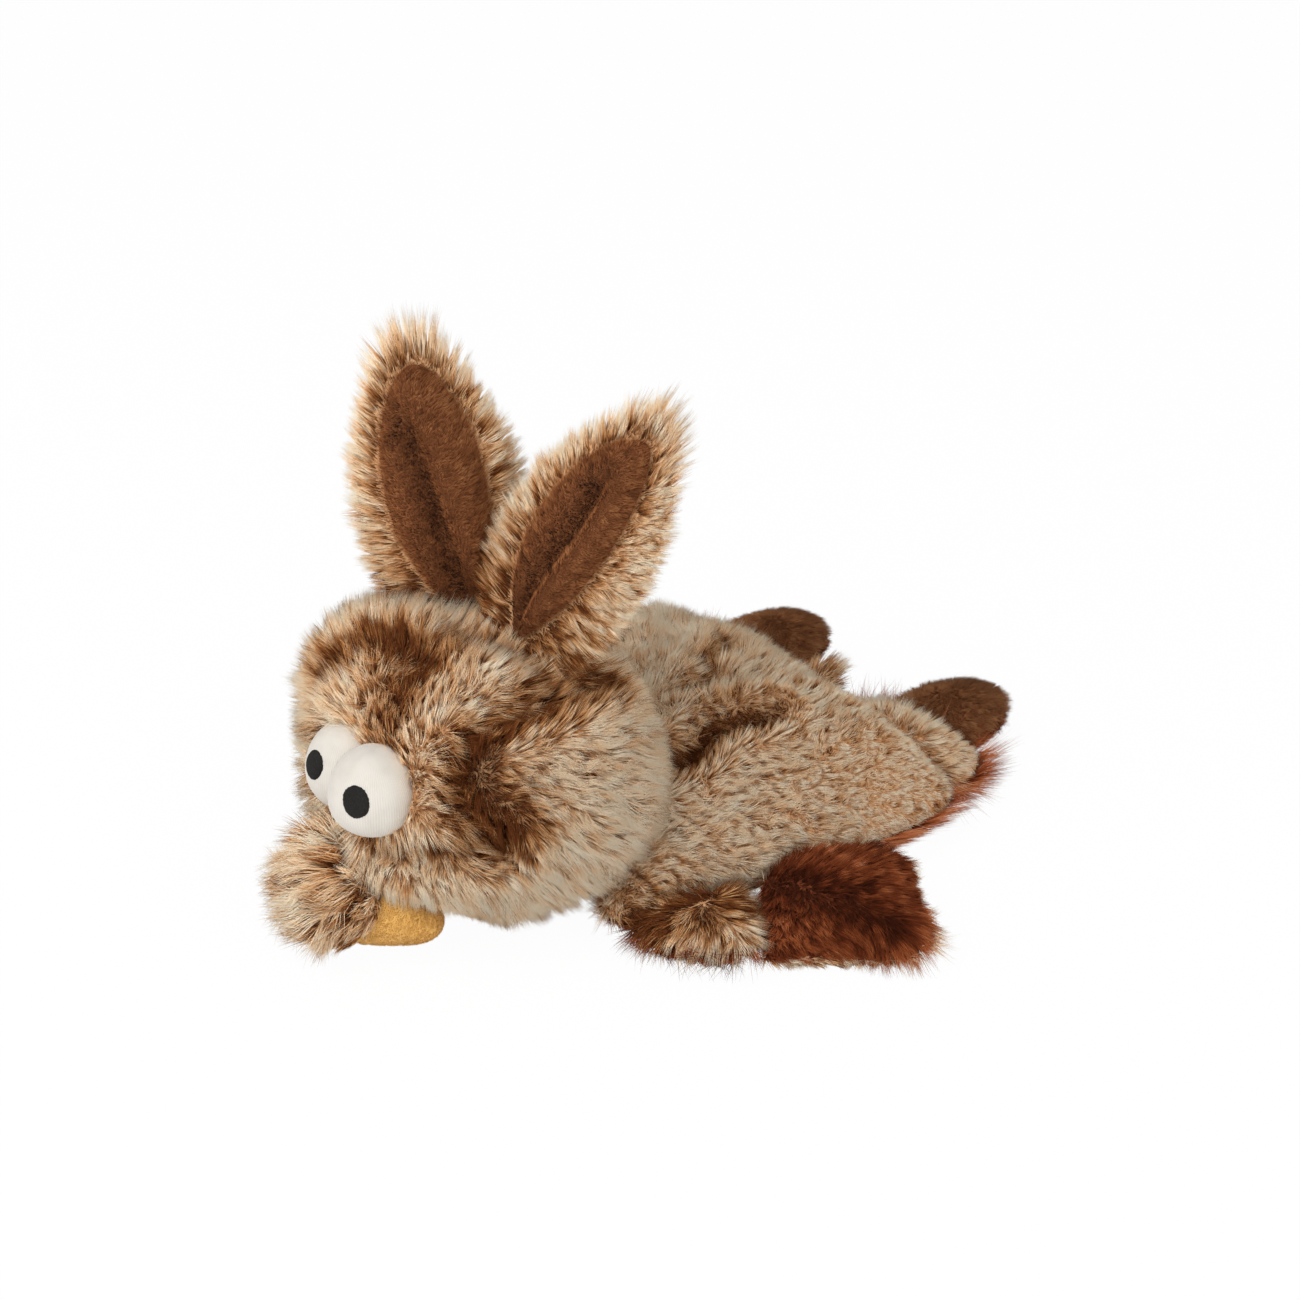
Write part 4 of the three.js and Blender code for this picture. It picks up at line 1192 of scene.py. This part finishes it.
for index, side in enumerate(("left", "right")):
    mirror = np.array([1 if side == "left" else -1, 1, 1])
    dimple = np.array(arm_dimple) * mirror
    crease = np.array(hand_crease) * mirror

    def arm_comb(points):
        away, distance = from_path(points, dimple)
        share = fade(distance, 0.022) * np.minimum(1, distance / 0.006)
        return away * (0.9 * share)[:, None] + np.array([0.35, -0.35, -0.30]) * mirror

    def arm_shade(points, kind):
        if kind == "russet":
            return 0.40
        # The dimple is not sunk into the skin: its tips are darkened as painted shade, in patches.
        dimple_shade = fade(from_path(points, dimple)[1], 0.0120)
        patchy = 1 + 0.5 * lumps(points, 0.006, 7)
        low_front = near_place(points, under_cheek * mirror, 0.014)
        return 0.80 - 0.78 * dimple_shade * patchy - 0.9 * low_front

    def arm_coat(points, kind, rim):
        return 1 + 0.4 * rim * (kind == "russet")

    def hand_coat(points, kind, rim):
        corner = near_place(points, hand_corner * mirror, 0.018)
        return 1 - 0.8 * corner + 1.1 * near_place(points, hand_end * mirror, 0.014)

    def hand_comb(points):
        away, distance = from_path(points, crease)
        share = fade(distance, 0.020) * np.minimum(1, distance / 0.005)
        end = near_place(points, hand_end * mirror, 0.018)
        way = np.array([0.7, -0.9, -0.2]) * mirror
        return away * (0.5 * share)[:, None] + np.array(hand_ways[side]) + np.outer(end, way)

    def hand_shade(points, kind):
        if kind == "plush":
            return 0.62
        # The crease is not sunk into the skin: its tips are darkened as painted shade. The tips
        # are lighter along a band beside it and pale at the hand's end.
        distance = from_path(points, crease)[1]
        end = near_place(points, hand_end * mirror, 0.016)
        ridge = fade(distance - 0.019, 0.007)
        return 0.42 - 0.34 * fade(distance, 0.007) + 0.22 * ridge + 0.40 * end

    grow_limb(f"{side}_arm", f"{side}_arm_outer", f"{side}_arm_inner", arm_comb, arm_shade,
              arm_coat, 50 + index, limb_russet, limb_plush)
    grow_limb(f"{side}_hand", f"{side}_hand_outer", f"{side}_hand_inner", hand_comb, hand_shade,
              hand_coat, 60 + index, hand_russet, hand_plush,
              tuck=(hand_corner * mirror, hand_pull * mirror, 0.020))


# Legs and feet. Short flat legs of the same two plushes, each ending in a turned-up foot with a
# velvety dark sole on top and a russet back below.
sole_tips = [
    (0.0, (0.095, 0.035, 0.013)), (0.45, (0.33, 0.135, 0.054)), (0.8, (0.50, 0.24, 0.105)),
    (1.0, (0.60, 0.34, 0.165)),
]
sole_pile = pile_material("sole_pile", sole_tips)
leg_plush = dict(limb_plush, length=0.0098, rise=0.70, mottle=0.5)
for index, side in enumerate(("left", "right")):
    low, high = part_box(f"{side}_leg_outer")
    leg_middle = np.array((low + high) / 2)

    def leg_comb(points):
        return unit(points - leg_middle) * 0.5 + np.array([0.0, 0.5, -0.2])

    def leg_shade(points, kind):
        return 0.70 if kind == "plush" else 0.85

    def leg_coat(points, kind, rim):
        if kind == "russet":
            return 1 + (0.9 if side == "left" else 0.1) * rim
        by_body = near_piece(points, body_skin, 0.016)
        return 1 - 0.75 * rim * (1 - by_body) + 0.7 * by_body

    grow_limb(f"{side}_leg", f"{side}_leg_outer", f"{side}_leg_inner", leg_comb, leg_shade,
              leg_coat, 70 + index, limb_russet, leg_plush)

    sole = one_skin(f"{side}_sole_pad", (f"{side}_sole",), 0.002)
    stuff(sole, pressure=3.0, reach=0.0012)
    sole_points = points_of(sole.data)
    low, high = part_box(f"{side}_sole")
    middle = np.array((low + high) / 2)
    across = np.linalg.norm((sole_points - middle)[:, :2], axis=1)
    lay_pile(sole, unit(sole_points - middle) + np.array([0.3, 0.5, 0.0]),
             0.42 + 0.22 * np.clip(across / 0.022, 0, 1) ** 3)
    upward = np.clip(normals_of(sole.data)[:, 2] * 2 + 1, 0, 1)
    sole_nap = grow_pile(
        f"{side}_sole_nap", sole, upward, sole_pile, seed=75 + index,
        hairs_per_square_centimetre=390.0, length=0.0042, rise=0.60, tousle=0.5,
        lock_spacing=0.0024, lock_strength=0.20, mottle=0.3, flecks=0.05, hair_width=0.00025,
    )
    dress(sole_nap, f"{side}_leg")
    dress(sole, f"{side}_leg", velvet_knit,
          stands_for=(f"{side}_sole",))

    foot = one_skin(f"{side}_foot_skin", (f"{side}_foot_back",), 0.003)
    stuff(foot, pressure=3.0, reach=0.001, floor=0.0012)
    foot_points = points_of(foot.data)
    low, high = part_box(f"{side}_foot_back")
    middle = np.array((low + high) / 2)
    lay_pile(foot, unit(foot_points - middle) + np.array([0, 0.4, -0.3]), 0.32)
    foot_coat = 0.5 * (1 - near_piece(foot_points, sole, 0.001))
    foot_pile = grow_pile(
        f"{side}_foot_pile", foot, foot_coat, russet_pile, seed=80 + index,
        hairs_per_square_centimetre=200.0, length=0.0095, rise=0.4, tousle=0.5,
        lock_spacing=0.0036, lock_strength=0.5, mottle=0.5, flecks=0.0,
    )
    dress(foot_pile, f"{side}_leg")
    dress(foot, f"{side}_leg", russet_knit,
          stands_for=(f"{side}_foot_back",))


# Tail. A small drop of plush, folded and sewn along its side, then held in the rim's seam so
# that it stands up a little from the rump.
tail_skin = one_skin("tail_skin", ("tail",), 0.002)
lay_pile(tail_skin, (0.0, 0.9, 0.2), 0.45)
tail_pile = grow_pile(
    "tail_pile", tail_skin, np.ones(len(tail_skin.data.vertices)), mottled_pile, seed=90,
    hairs_per_square_centimetre=300.0, length=0.0115, rise=0.5, tousle=0.6,
    lock_spacing=0.0038, lock_strength=0.75, mottle=0.7, flecks=0.4, segments=2,
)
dress(tail_pile, "tail")
dress(tail_skin, "tail", brown_knit, stands_for=("tail",))


# Squeaker. A squat bulb blown from thin pale plastic, with a seam round its middle and a small
# whistle in its top. It sits loose in the filling of the head.
low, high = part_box("squeaker")
squeaker_middle = (low + high) / 2
squeaker_reach = (high - low).x / 2
squeaker_half = (high - low).z / 2


def squeaker_profile():
    """Radius and height, as shares of the bulb's own, from the bottom's middle to the top's."""
    profile = [(0.0, -1.0), (0.55, -1.0)]
    profile += [
        (0.70 + 0.24 * math.sin(turn), -0.10 - 0.90 * math.cos(turn))
        for turn in (math.radians(15 * step) for step in range(1, 6))
    ]
    profile += [(0.94, -0.10), (1.0, -0.08), (1.0, 0.08), (0.94, 0.10)]
    profile += [
        (0.70 + 0.24 * math.cos(turn), 0.10 + 0.62 * math.sin(turn))
        for turn in (math.radians(15 * step) for step in range(1, 7))
    ]
    return profile + [(0.26, 0.72), (0.24, 1.0), (0.10, 1.0), (0.09, 0.80), (0.0, 0.80)]


def turned(name, profile, middle, reach, half, sides=64):
    """A closed form turned from a profile that starts and ends on the axis."""
    form = bmesh.new()
    rings = []
    for radius, height in profile:
        if radius == 0.0:
            rings.append([form.verts.new(middle + Vector((0, 0, height * half)))])
            continue
        ring = []
        for step in range(sides):
            angle = 2 * math.pi * step / sides
            offset = (radius * reach * math.cos(angle), radius * reach * math.sin(angle),
                      height * half)
            ring.append(form.verts.new(middle + Vector(offset)))
        rings.append(ring)
    for lower, upper in zip(rings[:-1], rings[1:]):
        for step in range(sides):
            after = (step + 1) % sides
            corners = [lower[step % len(lower)], lower[after % len(lower)],
                       upper[after % len(upper)], upper[step % len(upper)]]
            form.faces.new(list(dict.fromkeys(corners)))
    bmesh.ops.recalc_face_normals(form, faces=form.faces)
    return piece_from(form, name)


squeaker_plastic, shader, node = bare_material("squeaker_plastic", roughness=0.42)
clouds = node('ShaderNodeTexNoise', {
    'Vector': node('ShaderNodeTexCoord').outputs['Object'], 'Scale': 140.0, 'Detail': 4.0,
})
tone = node('ShaderNodeValToRGB', {'Fac': clouds.outputs['Fac']})
set_ramp(tone, [(0.3, (0.62, 0.62, 0.60)), (0.7, (0.74, 0.74, 0.72))])
dents = node('ShaderNodeBump', {
    'Height': clouds.outputs['Fac'], 'Distance': 0.0003, 'Strength': 0.4,
})
paint(squeaker_plastic, shader, tone, dents)
squeaker = turned("squeaker_bulb", squeaker_profile(), squeaker_middle, squeaker_reach,
                  squeaker_half)
dress(squeaker, "head", squeaker_plastic, stands_for=("squeaker",))


# Treat pocket. A box of plain woven lining sewn into the belly, closed by a flap of the russet
# plush, which a strip of hooks on it and a strip of loops on the pocket hold shut.
def weave_material(name, light, dark, threads):
    """Plain weave, its threads crossing over and under along X and Y."""
    material, shader, node = bare_material(name, roughness=0.85)
    spot = node('ShaderNodeTexCoord').outputs['Object']
    warp = node('ShaderNodeTexWave', {'Vector': spot, 'Scale': threads, 'Distortion': 0.3},
                bands_direction='X')
    weft = node('ShaderNodeTexWave', {'Vector': spot, 'Scale': threads, 'Distortion': 0.3},
                bands_direction='Y')
    height = node('ShaderNodeMath', {0: warp.outputs['Fac'], 1: weft.outputs['Fac']},
                  operation='MULTIPLY')
    wear = node('ShaderNodeTexNoise', {'Vector': spot, 'Scale': 60.0, 'Detail': 4.0})
    tone = node('ShaderNodeMath', {0: height.outputs[0], 1: 0.5, 2: wear.outputs['Fac']},
                operation='MULTIPLY_ADD')
    ramp = node('ShaderNodeValToRGB', {'Fac': tone.outputs[0]})
    set_ramp(ramp, [(0.35, dark), (0.85, light)])
    bump = node('ShaderNodeBump', {
        'Height': height.outputs[0], 'Distance': 0.0002, 'Strength': 0.7,
    })
    paint(material, shader, ramp, bump)
    return material


lining_weave = weave_material("lining_weave", (0.42, 0.33, 0.23), (0.30, 0.23, 0.155), 500.0)
pouch = fine_form("pouch_lining", ("treat_pouch",), 0.005)
swell_lumps(pouch, 0.012, 0.00025, 8)
dress(pouch, "torso", lining_weave, stands_for=("treat_pouch",))

flap_skin = fine_form("flap_skin", ("pocket_flap",), 0.004)
flap_under = (normals_of(flap_skin.data)[:, 2] < -0.3).astype(float)
lay_pile(flap_skin, (0.1, 1.0, 0.0), 0.55)
flap_pile = grow_pile(
    "flap_pile", flap_skin, 0.6 * flap_under, russet_pile, seed=95,
    hairs_per_square_centimetre=130.0, length=0.0085, rise=0.25, tousle=0.4,
    lock_spacing=0.0034, lock_strength=0.4, mottle=0.5, flecks=0.0,
)
dress(flap_pile, "flap")
dress(flap_skin, "flap", russet_knit, stands_for=("pocket_flap",))

tape_base = 0.0005
hook_pitch = 0.0016
hook_height = 0.00048


def tape(name, node_name, low_z):
    """The woven ground of a strip, its corners rounded, over the node's length and width."""
    low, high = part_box(node_name)
    form = bmesh.new()
    bmesh.ops.create_cube(form, size=1.0)
    for vertex in form.verts:
        vertex.co = Vector((
            low.x + (high.x - low.x) * (vertex.co.x + 0.5),
            low.y + (high.y - low.y) * (vertex.co.y + 0.5),
            low_z + tape_base * (vertex.co.z + 0.5),
        ))
    corners = [edge for edge in form.edges if abs(edge.verts[0].co.z - edge.verts[1].co.z) > 1e-5]
    bmesh.ops.bevel(form, geom=corners, offset=0.0015, segments=4, affect='EDGES', profile=0.5)
    bmesh.ops.triangulate(form, faces=form.faces)
    return piece_from(form, name)


def hook_tree():
    """Geometry Nodes for rows of small bent hooks on a flat ground."""
    tree = bpy.data.node_groups.new("hooks", 'GeometryNodeTree')
    add_socket(tree, "Geometry", 'NodeSocketGeometry')
    for name, value in (("Length", 0.07), ("Width", 0.01), ("Height", 0.0005), ("Bend", 0.0003)):
        add_socket(tree, name, 'NodeSocketFloat', value)
    add_socket(tree, "Hooks along", 'NodeSocketInt', 10)
    add_socket(tree, "Hooks across", 'NodeSocketInt', 5)
    add_socket(tree, "Place", 'NodeSocketVector')
    add_socket(tree, "Material", 'NodeSocketMaterial')
    add_socket(tree, "Geometry", 'NodeSocketGeometry', way='OUTPUT')
    given = tree.nodes.new('NodeGroupInput').outputs
    node = node_adder(tree)

    ground = node('GeometryNodeMeshGrid', {
        'Size X': given["Length"], 'Size Y': given["Width"],
        'Vertices X': given["Hooks along"], 'Vertices Y': given["Hooks across"],
    })
    hook = node('GeometryNodeMeshCone', {
        'Vertices': 5, 'Side Segments': 3, 'Radius Top': 0.00005, 'Radius Bottom': 0.00016,
        'Depth': given["Height"],
    })
    spot = node('GeometryNodeInputPosition').outputs[0]
    height = node('ShaderNodeSeparateXYZ', {0: spot}).outputs['Z']
    share = node('ShaderNodeMath', {0: height, 1: given["Height"]}, operation='DIVIDE')
    power = node('ShaderNodeMath', {0: share.outputs[0], 1: 2.5}, operation='POWER')
    lean = node('ShaderNodeMath', {0: power.outputs[0], 1: given["Bend"]}, operation='MULTIPLY')
    shift = node('ShaderNodeCombineXYZ', {'X': lean.outputs[0]})
    bent = node('GeometryNodeSetPosition', {
        'Geometry': hook.outputs['Mesh'], 'Offset': shift.outputs[0],
    })
    rows = node('GeometryNodeInstanceOnPoints', {
        'Points': ground.outputs['Mesh'], 'Instance': bent.outputs[0],
    })
    moved = node('GeometryNodeTransform', {
        'Geometry': rows.outputs[0], 'Translation': given["Place"],
    })
    solid = node('GeometryNodeRealizeInstances', {'Geometry': moved.outputs[0]})
    painted = node('GeometryNodeSetMaterial', {
        'Geometry': solid.outputs[0], 'Material': given["Material"],
    })
    tree.links.new(painted.outputs[0], tree.nodes.new('NodeGroupOutput').inputs[0])
    return tree


tape_weave = weave_material("tape_weave", (0.060, 0.052, 0.046), (0.030, 0.026, 0.023), 900.0)
loop_fuzz = pile_material(
    "loop_fuzz", [(0.0, (0.05, 0.043, 0.038)), (1.0, (0.11, 0.098, 0.088))], root_fade=0.3,
)
low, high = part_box("hook_strip")
hook_tape = tape("hook_tape", "hook_strip", low.z)
hook_rows = made_piece("hook_rows", bpy.data.meshes.new("hook_rows"))
rows_of_hooks = hook_rows.modifiers.new("hooks", 'NODES')
rows_of_hooks.node_group = hook_tree()
set_inputs(rows_of_hooks, {
    "Length": high.x - low.x - 0.003, "Width": high.y - low.y - 0.002, "Height": hook_height,
    "Bend": 0.00035, "Hooks along": int((high.x - low.x) / hook_pitch),
    "Hooks across": int((high.y - low.y) / hook_pitch),
    "Place": ((low.x + high.x) / 2, (low.y + high.y) / 2, low.z + tape_base - 0.00002),
    "Material": tape_weave,
})
settle_modifiers(hook_rows)
dress(hook_rows, "flap")
dress(hook_tape, "flap", tape_weave, stands_for=("hook_strip",))

low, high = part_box("loop_strip")
loop_tape = tape("loop_tape", "loop_strip", high.z - tape_base)
loop_under = (normals_of(loop_tape.data)[:, 2] < 0).astype(float)
lay_pile(loop_tape, (0.6, 0.2, 0.0), 0.5)
loop_pile = grow_pile(
    "loop_pile", loop_tape, loop_under, loop_fuzz, seed=97,
    hairs_per_square_centimetre=500.0, length=0.0008, rise=0.5, tousle=2.0,
    lock_spacing=0.0015, lock_strength=0.3, mottle=0.6, flecks=0.0, hair_width=0.00012,
)
dress(loop_pile, "torso")
dress(loop_tape, "torso", tape_weave, stands_for=("loop_strip",))


# Floor and light. A pale floor under a white room, a large soft lamp from the upper left and a
# weaker one from the right.
floor_mesh = bpy.data.meshes.new("floor")
floor_mesh.from_pydata(
    [(-4, -4, 0), (4, -4, 0), (4, 4, 0), (-4, 4, 0)], [], [(0, 1, 2, 3)],
)
floor = made_piece("floor", floor_mesh)
floor_paint, shader, node = bare_material("floor_paint", roughness=0.9, specular=0.0)
shader.inputs['Base Color'].default_value = (0.92, 0.92, 0.92, 1)
glow = node('ShaderNodeEmission', {'Color': (1, 1, 1, 1)})
to_camera = node('ShaderNodeLightPath').outputs['Is Camera Ray']
seen = node('ShaderNodeMath', {0: to_camera, 1: 0.97}, operation='MULTIPLY')
mixed = node('ShaderNodeMixShader', {
    0: seen.outputs[0], 1: shader.outputs[0], 2: glow.outputs[0],
})
floor_end = floor_paint.node_tree.nodes["Material Output"]
floor_paint.node_tree.links.new(mixed.outputs[0], floor_end.inputs[0])
floor_mesh.materials.append(floor_paint)

world = bpy.data.worlds.new("room")
scene.world = world
world.use_nodes = True
node = node_adder(world.node_tree)
sky = world.node_tree.nodes["Background"]
sky.inputs['Color'].default_value = (1, 1, 1, 1)
to_camera = node('ShaderNodeLightPath').outputs['Is Camera Ray']
level = node('ShaderNodeMapRange', {'Value': to_camera, 'To Min': 0.52, 'To Max': 1.0})
world.node_tree.links.new(level.outputs[0], sky.inputs['Strength'])


def add_lamp(name, place, size, power):
    lamp = bpy.data.objects.new(name, bpy.data.lights.new(name, 'AREA'))
    scene.collection.objects.link(lamp)
    lamp.data.size = size
    lamp.data.energy = power
    lamp.location = place
    aim = Vector((0, 0, 0.05)) - Vector(place)
    lamp.rotation_euler = aim.to_track_quat('-Z', 'Y').to_euler()


add_lamp("window_lamp", (0.1, -1.3, 1.5), 1.3, 25.0)
add_lamp("side_lamp", (1.6, -0.3, 0.9), 1.0, 7.0)

scene.view_settings.view_transform = 'Standard'
